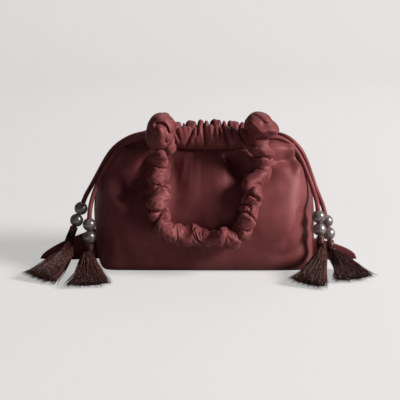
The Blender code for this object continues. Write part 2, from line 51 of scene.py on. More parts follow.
# Light: one strong soft lamp from the right, two weak ones, and paper that shows its own tone
KEY_ENERGY = 232.0
FILL_ENERGY = 0.35
TOP_ENERGY = 6.0
WORLD_LEVEL = 0.045
BACKDROP_TONE = (0.43, 0.416, 0.413)
BACKDROP_GLOW = 0.45
BACKDROP_GLOW_RISE = 0.13  # more of it towards the far end
LAMPS = {"key": (3.5, -1.10, 2.10), "fill": (-1.2, -1.6, 0.9), "top": (0.5, 1.5, 1.9)}

# Looks: deep and light tone of a cloth, dark and warm tone of a thread
SATIN = ((0.180, 0.045, 0.047), (0.262, 0.072, 0.075))
STRING_SATIN = ((0.210, 0.054, 0.056), (0.290, 0.082, 0.085))
PEARL = ((0.170, 0.140, 0.143), (0.480, 0.415, 0.420))
SILK = ((0.026, 0.008, 0.007), (0.430, 0.140, 0.105))
# Tassel heart: darker than the silk's own tones, painted shade inside the dense brush
SHADED_SILK_HEART = ((0.014, 0.005, 0.005), (0.040, 0.014, 0.013))
WOUND_THREAD = ((0.040, 0.014, 0.014), (0.300, 0.110, 0.085))
COTTON = ((0.42, 0.36, 0.32), (0.60, 0.54, 0.48))

# Cloth
CLOTH = 0.0012  # thickness of the satin with its backing
GAP = 0.0003  # left between pieces that are sewn or rest together
LAYER = CLOTH + GAP / 2  # outer face of one layer, from the plane in which two are sewn
FLANGE = 0.0018  # width of the sewn edge that stands out along the sides

# Body of the pouch, measured from the plane of its side seams
SEAM_Y = 0.006  # the seams lie this far behind the middle of the base
BASE_DEPTH = 0.047  # from the bottom seam to the front or back edge of the base
BELLY_DEPTH = 0.070  # pull of the belly's curve low down
BELLY_Z = 0.008
CHEST_DEPTH = 0.062  # pull of the same curve high up
CHEST_Z = 0.095
BODY_HALF = 0.1310  # half of the width where the corners begin
HIP_HALF = 0.1335  # pull of the side outline, low
HIP_Z = 0.085
SHOULDER_HALF = 0.1245  # pull of the side outline, high
SHOULDER_Z = 0.137
MOUTH_HALF = 0.072  # half of the gathered width at the mouth
MOUTH_DEPTH = 0.020  # from the seam plane to the middle of each casing
MOUTH_SHIFT = 0.007  # the mouth leans this far to the right
BELLY_SHIFT = -0.002  # and the belly this far to the left
CASING_Z = 0.138  # seam under the casing, at the middle
SIDE_TOP_Z = 0.154  # top of the side seams
EDGE_V = 0.2  # share of each panel that lies on the floor
FLAT_SHARE = 0.86  # share of the half width over which the base is flat

# Corners of the cloth, which stick out as ears: left, right
EAR_REACH = (0.066, 0.050)
EAR_RISE = (0.038, 0.026)
EAR_CURVE = (0.62, 0.42)
EAR_TIP_Z = 0.005
EAR_FORWARD = 0.016  # the tips swing this far to the front
EAR_PUFF = 0.003

# Gathers and soft dents: (place across, place up, half width across, half height, depth)
PLEATS = 9
PLEAT_DEPTH = 0.0006
DENTS = (
    (-0.66, 0.80, 0.17, 0.10, 0.010),
    (0.30, 0.88, 0.10, 0.07, 0.006),
    (0.66, 0.83, 0.13, 0.07, 0.007),
    (-0.10, 0.62, 0.20, 0.18, 0.004),
    (-0.70, 0.45, 0.08, 0.20, 0.003),
)
BACK_FOLDS = 6.2  # broad folds that fall from the rear casing, across the whole width
BACK_FOLD_DEPTH = 0.0026

# Casings that the drawstrings run in
CASING_HALF = 0.058  # half of a casing's length
CASING_HEIGHT = 0.029
CASING_END_DROP = 0.010  # a casing is this much lower at its ends
CASING_THICK = 0.0088  # half of its thickness, at the middle
CASING_END_THIN = 0.0005
SCALLOP = 0.0015

# Drawstrings
CORD = 0.0055
CORD_LEVELS = (0.0036, -0.0036)  # left and right string, from the casing's middle height
U_TURN = 0.0075  # how far a string's turn stands out of the casings' far ends
U_RISE = 0.003  # rise of the upper string's turn
OFF_BODY = CORD / 2 + 5 * GAP  # middle of a string that lies on the body, from the cloth
RIM_PLACE = 0.90  # where the strings cross the rim of the mouth, as a share of its half width

# Beads and tassels
BEAD = 0.0155
BEAD_HOLE = 0.0050
BEAD_POLE = math.sqrt((BEAD / 2) ** 2 - (BEAD_HOLE / 2) ** 2)  # middle of a bead to its hole's rim
BEAD_LEAD = 0.006  # straight cord above the upper bead
BINDING = 0.0092
BINDING_LENGTH = 0.0095
BINDING_TURNS = 13
BINDING_SHAPE = ((0, 0.62), (0.12, 0.98), (0.45, 1.0), (0.8, 0.86), (1, 0.74))  # share, radius
SKIRT_NECK = 0.0040
SKIRT_HALF_THICK = 0.0085
SKIRT_END_HALF_THICK = 0.0042

# Handle
HANDLE_CREST = 0.0090  # radius where it goes over the casing
HANDLE_KNOB = 0.0150  # radius of the puff below that
HANDLE_TUBE = 0.0108
RUCHE_DEPTH = 0.12

FRONT, BACK = -1, 1


def smooth_step(t):
    t = min(1.0, max(0.0, t))
    return t * t * (3 - 2 * t)


def bezier(points, t):
    """A point on the cubic curve with these four control points."""
    a, b, c, d = (np.array(p, float) for p in points)
    u = 1 - t
    return u**3 * a + 3 * u * u * t * b + 3 * u * t * t * c + t**3 * d


def keyed(keys, t):
    """A value that runs smoothly through (place, value) pairs."""
    places = [k[0] for k in keys]
    values = [k[1] for k in keys]
    if t <= places[0]:
        return values[0]
    for i in range(len(keys) - 1):
        if t <= places[i + 1]:
            share = smooth_step((t - places[i]) / (places[i + 1] - places[i]))
            return values[i] + (values[i + 1] - values[i]) * share
    return values[-1]


def spline_points(route, step):
    """Points about step apart on a smooth curve through the route's own points."""
    route = [np.array(p, float) for p in route]
    padded = [2 * route[0] - route[1], *route, 2 * route[-1] - route[-2]]
    fine = [route[0]]
    for p0, p1, p2, p3 in zip(padded, padded[1:], padded[2:], padded[3:]):
        for k in range(1, 13):
            t = k / 12
            fine.append(
                0.5
                * (
                    2 * p1
                    + (p2 - p0) * t
                    + (2 * p0 - 5 * p1 + 4 * p2 - p3) * t * t
                    + (3 * p1 - p0 - 3 * p2 + p3) * t**3
                )
            )
    return resampled(np.array(fine), step=step)


def resampled(line, step=None, count=None):
    """The line with evenly spaced points: about step apart, or count of them."""
    along = np.concatenate([[0], np.cumsum(np.linalg.norm(np.diff(line, axis=0), axis=1))])
    if count is None:
        count = max(2, round(along[-1] / step) + 1)
    at = np.linspace(0, along[-1], count)
    return np.stack([np.interp(at, along, line[:, k]) for k in range(3)], axis=1)


def pleat(s):
    """Gathers across the mouth, from -1 to 1. s is the share of the mouth's half width."""
    turn = math.pi * PLEATS * s * MOUTH_HALF / CASING_HALF
    return 0.7 * math.cos(turn + 0.6 * math.sin(2.3 * s)) + 0.3 * math.cos(1.7 * turn + 1.0)


def seam_layer(a):
    """How far the outer face is from the seam plane where the panel has no depth of its own."""
    return GAP / 2 + (LAYER - GAP / 2) * smooth_step((a - 0.9) / 0.1)


def roundness(v):
    """How square the pouch is in plan at this height: higher is squarer."""
    return keyed(((0.2, 16.0), (0.45, 7.0), (0.8, 3.6), (1.0, 6.0)), v)


def lift(a, t):
    """How far a row of the cloth has risen from its middle towards its end at the side."""
    low = max(0.0, (a - FLAT_SHARE) / (1 - FLAT_SHARE)) ** 4
    return low + (a**3.5 - low) * smooth_step(t / 0.6)


def folds(s, v, face):
    """Depth that the gathers and folds add and the soft dents take away."""
    depth = PLEAT_DEPTH * pleat(s) * smooth_step((v - 0.75) / 0.25) * (1 - abs(s) ** 8)
    if face == BACK:
        reach = smooth_step((v - 0.4) / 0.25) * smooth_step((1.02 - v) / 0.2)
        wave = math.cos(math.pi * BACK_FOLDS * s + math.sin(3 * s))
        return depth + BACK_FOLD_DEPTH * reach * wave
    for at_s, at_v, wide, high, dent in DENTS:
        depth -= dent * math.exp(-(((s - at_s) / wide) ** 2) - ((v - at_v) / high) ** 2)
    return depth


def sway(t):
    """How far the middle of the cloth is off the plane x = 0, from the floor to the mouth."""
    return MOUTH_SHIFT * t * t + BELLY_SHIFT * 4 * t * (1 - t)


def body_point(s, v, face):
    """A point of a panel's outer face: s from -1 to 1 across, v from 0 at the bottom seam to 1."""
    a = abs(s)
    t = max(0.0, (v - EDGE_V) / (1 - EDGE_V))
    rise = EAR_RISE[s > 0]
    if v < EDGE_V:
        depth, z = BASE_DEPTH * v / EDGE_V, 0.0
        half, side_z = BODY_HALF, rise * v / EDGE_V
    else:
        belly = (
            (BASE_DEPTH, 0.0),
            (BELLY_DEPTH, BELLY_Z),
            (CHEST_DEPTH, CHEST_Z),
            (MOUTH_DEPTH, CASING_Z),
        )
        side = (
            (BODY_HALF, rise),
            (HIP_HALF, HIP_Z),
            (SHOULDER_HALF, SHOULDER_Z),
            (MOUTH_HALF, SIDE_TOP_Z),
        )
        depth, z = bezier(belly, t)
        half, side_z = bezier(side, t)
    swell = math.sqrt(max(0.0, 1 - a ** roundness(v)))
    depth = seam_layer(a) + (depth + folds(s, v, face)) * swell
    return np.array(
        (
            sway(t) + s * half,
            SEAM_Y + face * depth,
            z + (side_z - z) * lift(a, t),
        )
    )


def ear_point(side, x_out, v, face):
    """A point of the flat corner, x_out beyond the body, on the row of cloth at v."""
    reach, rise, curve = (k[side > 0] for k in (EAR_REACH, EAR_RISE, EAR_CURVE))
    share = min(1.0, x_out / (reach + FLANGE))
    row_top = EDGE_V * min(1.0, 1 - (x_out - FLANGE) / reach)
    up = min(1.0, v / row_top) if row_top > 1e-6 else 1.0
    low = EAR_TIP_Z * share**3
    high = EAR_TIP_Z + (rise - EAR_TIP_Z) * (1 - share) ** curve
    puff = EAR_PUFF * math.sin(math.pi * up) * 4 * share * (1 - share)
    return np.array(
        (
            side * (BODY_HALF + x_out),
            SEAM_Y - EAR_FORWARD * share**1.3 + face * (LAYER + puff),
            low + (high - low) * up,
        )
    )


def row_end(side, v, face):
    """The stretch of a row beyond the body, outwards: the ear low down, the sewn flange above."""
    if v < EDGE_V:
        width = FLANGE + EAR_REACH[side > 0] * (1 - v / EDGE_V)
        return [ear_point(side, width * k / 12, v, face) for k in range(1, 13)]
    end = body_point(side, v, face)
    return [end + np.array((side * FLANGE, 0, 0))]


def panel_row(v, face, columns):
    places = [k / 60 for k in range(-60, 61)]
    body = [body_point(math.copysign(1 - (1 - abs(w)) ** 2.5, w), v, face) for w in places]
    line = [*reversed(row_end(-1, v, face)), *body, *row_end(1, v, face)]
    return resampled(np.array(line), count=columns + 1)


def ear_share(x):
    reach = EAR_REACH[x > 0] + FLANGE
    return min(1.0, max(0.0, (abs(x) - BODY_HALF) / reach))


def casing_middle(along, face):
    """Middle of a casing's section, half thickness and half height. along runs from -1 to 1."""
    s = along * CASING_HALF / MOUTH_HALF
    seam = body_point(s, 1.0, face)
    height = CASING_HEIGHT - CASING_END_DROP * along * along
    thick = CASING_THICK - CASING_END_THIN * along * along
    return seam + np.array((0, 0, 2 * GAP + height / 2)), thick, height / 2


def skin_at(x, z):
    """y of the front panel at a place seen from the front."""
    low, high = EDGE_V, 1.0
    for _ in range(24):
        v = (low + high) / 2
        if skin_sample(x, v)[2] < z:
            low = v
        else:
            high = v
    return skin_sample(x, v)[1]


def skin_sample(x, v):
    t = (v - EDGE_V) / (1 - EDGE_V)
    u = 1 - t
    half = (
        u**3 * BODY_HALF
        + 3 * u * u * t * HIP_HALF
        + 3 * u * t * t * SHOULDER_HALF
        + t**3 * MOUTH_HALF
    )
    s = (x - sway(t)) / half
    return body_point(max(-1.0, min(1.0, s)), v, FRONT)


def skin_slant(x, z, step=0.002):
    """How much longer a step off the front panel is along Y than straight off the cloth."""
    rise = (skin_at(x, z + step) - skin_at(x, z - step)) / (2 * step)
    turn = (skin_at(x + step, z) - skin_at(x - step, z)) / (2 * step)
    return math.sqrt(1 + rise**2 + turn**2)


def off_body(s, v, face):
    """Where a string lies on the body. Face 0 is the edge of the sewn flange at the side."""
    if face == 0:
        side = math.copysign(1.0, s)
        rise = body_point(side, v + 0.01, FRONT) - body_point(side, v - 0.01, FRONT)
        out = side * np.array((rise[2], 0, -rise[0])) / np.linalg.norm(rise)
        edge = body_point(side, v, FRONT) + np.array((side * FLANGE, LAYER, 0))
        return edge + out * (OFF_BODY + 4 * GAP)
    across = body_point(s + 0.01, v, face) - body_point(s - 0.01, v, face)
    up = body_point(s, min(1.0, v + 0.01), face) - body_point(s, v - 0.01, face)
    normal = face * np.cross(up, across)
    return body_point(s, v, face) + normal / np.linalg.norm(normal) * OFF_BODY


def handle_route():
    """Middle line of the handle: out of the mouth at the left, down the front, in at the right."""
    hang = (
        (-0.0510, 0.128),
        (-0.0540, 0.113),
        (-0.0535, 0.099),
        (-0.0540, 0.085),
        (-0.0508, 0.073),
        (-0.0455, 0.061),
        (-0.0370, 0.053),
        (-0.0240, 0.048),
        (-0.0090, 0.046),
        (0.0040, 0.047),
        (0.0170, 0.046),
        (0.0300, 0.048),
        (0.0410, 0.054),
        (0.0465, 0.063),
        (0.0480, 0.074),
        (0.0520, 0.087),
        (0.0555, 0.100),
        (0.0615, 0.112),
        (0.0665, 0.124),
    )
    off_skin = HANDLE_TUBE * (1 + RUCHE_DEPTH) + 4 * GAP
    middle = [(x, skin_at(x, z) - off_skin * skin_slant(x, z), z) for x, z in hang]
    ends = []
    for side in (-1, 1):
        seat, thick, half_height = casing_middle(side * 0.93, FRONT)
        rim = seat[2] + half_height + SCALLOP
        front_face = seat[1] - thick - PLEAT_DEPTH
        ends.append(
            [
                (seat[0], SEAM_Y, seat[2] - 0.3 * half_height),
                (seat[0], SEAM_Y, rim - 0.003),
                (seat[0], seat[1] + 0.35 * (SEAM_Y - seat[1]), rim + HANDLE_CREST + 2 * GAP),
                (seat[0], front_face - 0.0115, rim + 0.5 * HANDLE_CREST),
                (seat[0] + side * 0.001, front_face - HANDLE_KNOB - 0.004, seat[2] + 0.002),
            ]
        )
    return [*ends[0], *middle, *reversed(ends[1])]


def tube_rings(points, radii, sides):
    """Rings of points round a line, turned as little as possible from one to the next."""
    rings = []
    across = Vector((1, 0, 0))
    for i, point in enumerate(points):
        ahead = Vector(points[min(i + 1, len(points) - 1)] - points[max(i - 1, 0)]).normalized()
        across = (across - ahead * across.dot(ahead)).normalized()
        up = ahead.cross(across)
        rings.append(
            [
                Vector(point)
                + radii[i] * (math.cos(a) * across + math.sin(a) * up)
                for a in (2 * math.pi * k / sides for k in range(sides))
            ]
        )
    return rings


# The places on the body that a string runs over at the right, as (across, up, face)
OVER = {
    "front": (
        (0.970, 0.985, FRONT),
        (0.990, 0.94, FRONT),
        (0.992, 0.87, FRONT),
        (0.990, 0.80, FRONT),
        (0.985, 0.74, FRONT),
    ),
    "back": (
        (0.95, 0.985, BACK),
        (0.975, 0.95, BACK),
        (1.0, 0.92, 0),
        (1.0, 0.87, 0),
        (1.0, 0.81, 0),
        (1.0, 0.755, 0),
    ),
}

# Where each string's two ends hang: the points that it hangs through on its way to the beads,
# the middle of the upper bead, the way down through both beads, and the tassel's middle line
# down to the floor with half of its width there
HANGS = {
    ("left", "front"): {
        "free": ((-0.1293, -0.0150, 0.0940), (-0.1320, -0.0300, 0.0810)),
        "bead": (-0.1347, -0.0400, 0.0557),
        "down": (0.000, -0.06, -1.0),
        "fan": ((-0.1350, -0.0600, 0.0200), (-0.1320, -0.0830, 0.0085), (-0.1290, -0.1080, 0.0042)),
        "fan_width": 0.0280,
    },
    ("left", "back"): {
        "free": ((-0.1382, 0.0020, 0.0880),),
        "bead": (-0.1467, -0.0180, 0.0693),
        "down": (-0.38, -0.20, -1.0),
        "fan": ((-0.1620, -0.0440, 0.0220), (-0.1750, -0.0640, 0.0100), (-0.1890, -0.0880, 0.0042)),
        "fan_width": 0.0250,
    },
    ("right", "front"): {
        "free": ((0.1262, -0.0160, 0.0950), (0.1300, -0.0310, 0.0810)),
        "bead": (0.1316, -0.0400, 0.0650),
        "down": (0.10, -0.10, -1.0),
        "fan": ((0.1320, -0.0620, 0.0220), (0.1230, -0.0820, 0.0100), (0.1120, -0.1060, 0.0042)),
        "fan_width": 0.0240,
    },
    ("right", "back"): {
        "free": ((0.1328, 0.0020, 0.0890), (0.1380, -0.0090, 0.0750)),
        "bead": (0.1438, -0.0200, 0.0541),
        "down": (0.19, -0.12, -1.0),
        "fan": ((0.1530, -0.0400, 0.0160), (0.1620, -0.0600, 0.0095), (0.1680, -0.0880, 0.0042)),
        "fan_width": 0.0270,
    },
}
SIGNS = {"left": -1, "right": 1}


def bead_line(hang):
    """The straight stretch of cord through both beads: its start, direction and length."""
    down = Vector(hang["down"]).normalized()
    start = Vector(hang["bead"]) - down * (BEAD_POLE + BEAD_LEAD)
    return start, down, BEAD_LEAD + 4 * BEAD_POLE + GAP


def binding_top(hang):
    start, down, length = bead_line(hang)
    return start + down * (length + GAP), down


# Mesh densities of the finished pieces
FRONT_GRID = (260, 120)
BACK_GRID = (200, 90)
CASING_GRID = (56, 260)  # round the tunnel, along it
HANDLE_GRID = (40, 460)  # round the tube, along it
HANDLE_STOPS = 601  # along its route
SKIRT_STOPS = 60  # along a tassel

# Relief of the panels, apart from their folds
GATHER_HEIGHT = 0.0005  # close under the casing
LONG_GATHER_HEIGHT = 0.0004  # and further down
WAVES = ((0.045, 0.0016, 0), (0.016, 0.0005, 3))  # length, height, step of the seed
CASING_PUFF = 1.06  # size of a casing's puffs, as a multiple of its plain section

# The handle's tube, before it settles
HANDLE_FOLDS = 34
HANDLE_FULLNESS = 1.7  # its length, as a multiple of the cord's that it is gathered on
HANDLE_ROD = 0.0045  # radius of the rod that it settles on
HANDLE_SEED = 3
LOOSE = 1.18  # its first radius, as a multiple of HANDLE_TUBE
GROWN = 1.24  # and the one that it grows towards
FOLD_SPACING = (0.35, 1.65)  # least and most, as a multiple of the mean
FOLD_WIDTH = (0.0028, 0.0060)  # half width of a valley, as a share of the tube's length
FOLD_DEPTH = (0.45, 0.92)  # as a share of the radius

# Silk threads of a tassel
THREADS = 1000
THREAD_RADIUS = (0.00018, 0.00030)
THREAD_WAVE = (0.0002, 0.0009)
THREAD_STRAY = 0.0014  # how far one usually leaves its neighbours at the tip
THREAD_LIFT = 0.0010

# Cloth that is gathered on its cord settles at ten times its size, where the solver is steady
SIM_SCALE = 10
SIM_FRAMES = 8
SIM_BENDING = 3

# Folds of the front panel: from (x, z) to (x, z), half width, height off the cloth, all in mm
FRONT_CREASES = (
    (-69, 141, -95, 134, 5.0, 3.0),
    (-95, 134, -116, 121, 5.5, 3.4),
    (-116, 121, -122, 84, 5.0, 2.4),
    (-71, 124, -85, 107, 10.0, -14.0),
    (-110, 86, -84, 54, 7.0, 2.0),
    (-117, 57, -117, 15, 4.0, -3.5),
    (-108, 56, -106, 20, 5.0, 2.0),
    (27, 132, 41, 116, 7.0, -9.0),
    (31, 148, 55, 121, 5.5, 6.0),
    (70, 140, 100, 137, 5.5, 4.0),
    (100, 137, 110, 117, 5.0, 3.5),
    (86, 127, 101, 127, 6.0, -6.0),
    (111, 70, 95, 42, 6.0, -3.2),
    (110, 74, 96, 50, 6.0, 1.6),
    (113, 34, 90, 20, 6.0, -3.0),
    (-37, 122, -41, 66, 13.0, -6.0),
    (16, 116, 12, 62, 20.0, 3.0),
    (-78, 50, 86, 52, 22.0, 3.4),
    (55, 96, 48, 70, 9.0, -1.6),
)
BACK_CREASES = (
    (-60, 136, -104, 112, 6.0, 2.0),
    (-66, 122, -92, 96, 8.0, -2.4),
    (62, 134, 104, 112, 6.0, 2.0),
    (70, 118, 96, 92, 8.0, -2.2),
    (-108, 80, -100, 26, 6.0, -1.8),
    (112, 78, 102, 24, 6.0, -1.8),
)

# Valleys of a casing: place along it from -1 to 1, half width, depth, lean, share of the height
FRONT_VALLEYS = (
    (-0.835, 0.040, 0.50, 0.10, 1.0),
    (-0.640, 0.030, 0.40, -0.06, 0.6),
    (-0.443, 0.032, 0.55, 0.08, 1.0),
    (-0.300, 0.022, 0.36, 0.03, 0.45),
    (-0.134, 0.028, 0.52, -0.02, 1.0),
    (0.031, 0.022, 0.40, 0.04, 0.5),
    (0.175, 0.022, 0.36, -0.03, 0.45),
    (0.300, 0.034, 0.62, -0.07, 1.0),
    (0.464, 0.022, 0.36, -0.08, 0.5),
    (0.630, 0.044, 0.60, -0.10, 1.0),
    (0.820, 0.030, 0.45, -0.04, 1.0),
)
BACK_VALLEYS = (
    (-0.86, 0.030, 0.60, 0.05, 1.0),
    (-0.76, 0.024, 0.55, -0.04, 0.7),
    (-0.64, 0.026, 0.60, 0.04, 1.0),
    (-0.50, 0.024, 0.45, -0.03, 0.6),
    (-0.34, 0.030, 0.55, 0.05, 1.0),
    (-0.16, 0.024, 0.40, 0.02, 0.6),
    (0.02, 0.032, 0.55, -0.05, 1.0),
    (0.20, 0.024, 0.42, 0.03, 0.6),
    (0.37, 0.030, 0.55, -0.04, 1.0),
    (0.55, 0.024, 0.45, 0.05, 0.6),
    (0.70, 0.030, 0.55, 0.02, 1.0),
    (0.85, 0.024, 0.50, -0.03, 1.0),
)

# The handle's two puffs at the mouth, in mm: middle (x, z), outline as (degrees, reach), folds,
# and a curled fold: middle, half width and height, line width, height, direction and span in
# degrees. Their middle lies at KNOB_Y, with these depths to the front and to the back.
KNOB_Y, KNOB_FRONT, KNOB_BACK = -36, 19, 27
KNOBS = {
    "left": (
        (-52, 164),
        (
            (-146, 18.5), (-125, 22), (-104, 22), (-64, 20), (-46, 18.5), (-3, 17.4), (29, 20),
            (60, 20.8), (86, 22), (107, 20.5), (133, 17.2), (166, 15),
        ),
        (
            (-51, 170, -49, 156, 4.5, 2.6),
            (-64, 172, -61, 146, 3.5, -2.2),
            (-58, 182, -44, 181, 2.4, 1.6),
        ),
        (-51.5, 163.5, 9.5, 12.5, 0.16, -6.0, 38, 95),
    ),
    "right": (
        (65, 170),
        (
            (-156, 16), (-133, 19), (-97, 12), (-44, 17.5), (-14, 20), (-2, 18.6), (31, 13),
            (91, 16), (122, 19), (156, 20.5), (180, 17),
        ),
        (
            (47, 179, 60, 168, 3.0, 2.2),
            (60, 168, 84, 166, 3.2, 2.8),
            (56, 184, 66, 176, 3.2, -2.4),
            (66, 176, 79, 172, 2.6, -1.8),
            (51, 170, 63, 160, 2.6, -2.6),
        ),
        (62, 146, 12.0, 12.0, 0.14, -4.0, 95, 60),
    ),
}


def deselect_all():
    for obj in bpy.context.selected_objects:
        obj.select_set(False)


def new_object(name, data):
    obj = bpy.data.objects.new(name, data)
    bpy.context.scene.collection.objects.link(obj)
    return obj


def finish_piece(obj, name, look, body="pouch", nodes=()):
    """Names a finished piece, gives it its material and ties it to the frame."""
    obj.name = obj.data.name = name
    obj.data.materials.clear()
    obj.data.materials.append(look)
    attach(obj, body)
    if nodes:
        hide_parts(*nodes)
    return obj


def grid_of(points, loop=False):
    """A mesh object from an array of points [row, column, 3]. loop closes it across the columns."""
    rows, columns = points.shape[:2]
    deselect_all()
    bpy.ops.mesh.primitive_grid_add(x_subdivisions=columns - 1, y_subdivisions=rows - 1, size=2)
    obj = bpy.context.object
    obj.data.vertices.foreach_set("co", np.ascontiguousarray(points).reshape(-1).astype("f"))
    obj.data.update()
    if loop:
        edit(obj, lambda bm: bmesh.ops.remove_doubles(bm, verts=bm.verts, dist=1e-7))
    return obj


def edit(obj, change):
    bm = bmesh.new()
    bm.from_mesh(obj.data)
    change(bm)
    bm.to_mesh(obj.data)
    bm.free()
    obj.data.update()


def apply_modifier(obj, kind, **settings):
    modifier = obj.modifiers.new(kind.lower(), kind)
    for key, value in settings.items():
        setattr(modifier, key, value)
    bpy.context.view_layer.objects.active = obj
    bpy.ops.object.modifier_apply(modifier=modifier.name)


def face_outwards(bm):
    bmesh.ops.recalc_face_normals(bm, faces=bm.faces)


def close_ends(bm):
    bmesh.ops.holes_fill(bm, edges=bm.edges)
    face_outwards(bm)


def closed_piece(rings, name, look, node, levels=0):
    """A piece from points [ring, place, 3], closed round and at both ends."""
    obj = grid_of(rings, loop=True)
    edit(obj, close_ends)
    if levels:
        apply_modifier(obj, "SUBSURF", levels=levels)
    obj.data.shade_smooth()
    return finish_piece(obj, name, look, nodes=[node])


def grid_normals(points):
    """Unit normals of an array of points [row, column, 3]."""
    across = np.gradient(points, axis=1)
    up = np.gradient(points, axis=0)
    normal = np.cross(across, up)
    return normal / np.maximum(np.linalg.norm(normal, axis=2, keepdims=True), 1e-12)


def fold_field(x, z, folds_mm):
    """Height off the cloth, in metres, of straight folds given in mm in the front view."""
    total = np.zeros_like(x)
    for x0, z0, x1, z1, width, height in folds_mm:
        start = np.array((x0, z0)) / 1000
        along = np.array((x1, z1)) / 1000 - start
        length = np.linalg.norm(along)
        along = along / length
        t = ((x - start[0]) * along[0] + (z - start[1]) * along[1]) / length
        side = (x - start[0]) * along[1] - (z - start[1]) * along[0]
        beyond = np.maximum(0, np.maximum(-t, t - 1)) * length
        bow = 0.08 * length * np.sin(np.pi * np.clip(t, 0, 1))
        spread = width / 1000 * (0.8 + 0.4 * np.clip(t, 0, 1))
        away = ((side + bow) / spread) ** 2 + (beyond / (1.6 * spread)) ** 2
        total += height / 1000 * np.exp(-away)
    return total


def gather(s, seed):
    """Pleats across the mouth: sharp valleys at uneven spacing, round crests, from -1 to 1."""
    turn = math.pi * 7.6 * s + 0.9 * np.sin(2.6 * s + seed) + 0.5 * np.sin(7.1 * s + 2 * seed)
    wide = 1 - 2 * np.abs(np.cos(turn)) ** 3.2
    fine = 1 - 2 * np.abs(np.cos(2.35 * turn + seed)) ** 2.4
    return 0.72 * wide + 0.28 * fine


def cloth_waves(points, size, height, seed):
    """Uneven height over an array of points, from smooth noise."""
    flat = points.reshape(-1, 3) / size
    offset = Vector((seed * 7.3, seed * 3.1, seed * 5.7))
    values = np.array([noise.noise(Vector(p) + offset) for p in flat])
    return height * values.reshape(points.shape[:2])


def panel_piece(name, face, cells, fold_list, look, seed):
    columns, rows = cells
    table = np.array([panel_row(j / rows, face, columns) for j in range(rows + 1)])
    v = np.linspace(0, 1, rows + 1)[:, None] + np.zeros(columns + 1)[None]
    x, z = table[:, :, 0], table[:, :, 2]
    normal = grid_normals(table)
    normal *= np.sign((normal[rows // 2, columns // 2, 1]) * face)
    # The relief fades out towards the side seams, the floor and the casing
    inner = np.clip((BODY_HALF - 0.007 - np.abs(x)) / 0.022, 0, 1)
    free = np.clip((v - 0.24) / 0.14, 0, 1) * np.clip((1 - v) / 0.035, 0, 1) * inner
    s = (x - MOUTH_SHIFT * v) / MOUTH_HALF
    mouth = np.exp(-(((x - MOUTH_SHIFT) / (0.95 * MOUTH_HALF)) ** 6))
    high = np.clip((v - 0.80) / 0.20, 0, 1) ** 1.6
    long = np.clip((v - 0.55) / 0.45, 0, 1) ** 2
    close = GATHER_HEIGHT * high * gather(s, seed)
    gathers = mouth * (close + LONG_GATHER_HEIGHT * long * gather(0.45 * s, seed + 1))
    height = free * (fold_field(x, z, fold_list) + gathers)
    for size, rise, step in WAVES:
        height += free * cloth_waves(table, size, rise, seed + step)
    table = table + normal * height[:, :, None]
    obj = grid_of(table)
    if face == BACK:
        obj.data.flip_normals()
    apply_modifier(obj, "SOLIDIFY", thickness=CLOTH, offset=-1, use_even_offset=False)
    clamp_to_seam(obj, face)
    obj.data.shade_smooth()
    return finish_piece(obj, f"{name}_cloth", look, nodes=[name])


def clamp_to_seam(obj, face):
    """Keeps a panel on its own side of the seam plane and above the floor."""
    limit = SEAM_Y + face * GAP / 2
    for vertex in obj.data.vertices:
        ear_y = SEAM_Y - EAR_FORWARD * ear_share(vertex.co.x) ** 1.3 + face * GAP / 2
        if face == FRONT:
            vertex.co.y = min(vertex.co.y, limit, ear_y)
        else:
            vertex.co.y = max(vertex.co.y, limit - EAR_FORWARD, ear_y)
        vertex.co.z = max(vertex.co.z, 0.0)


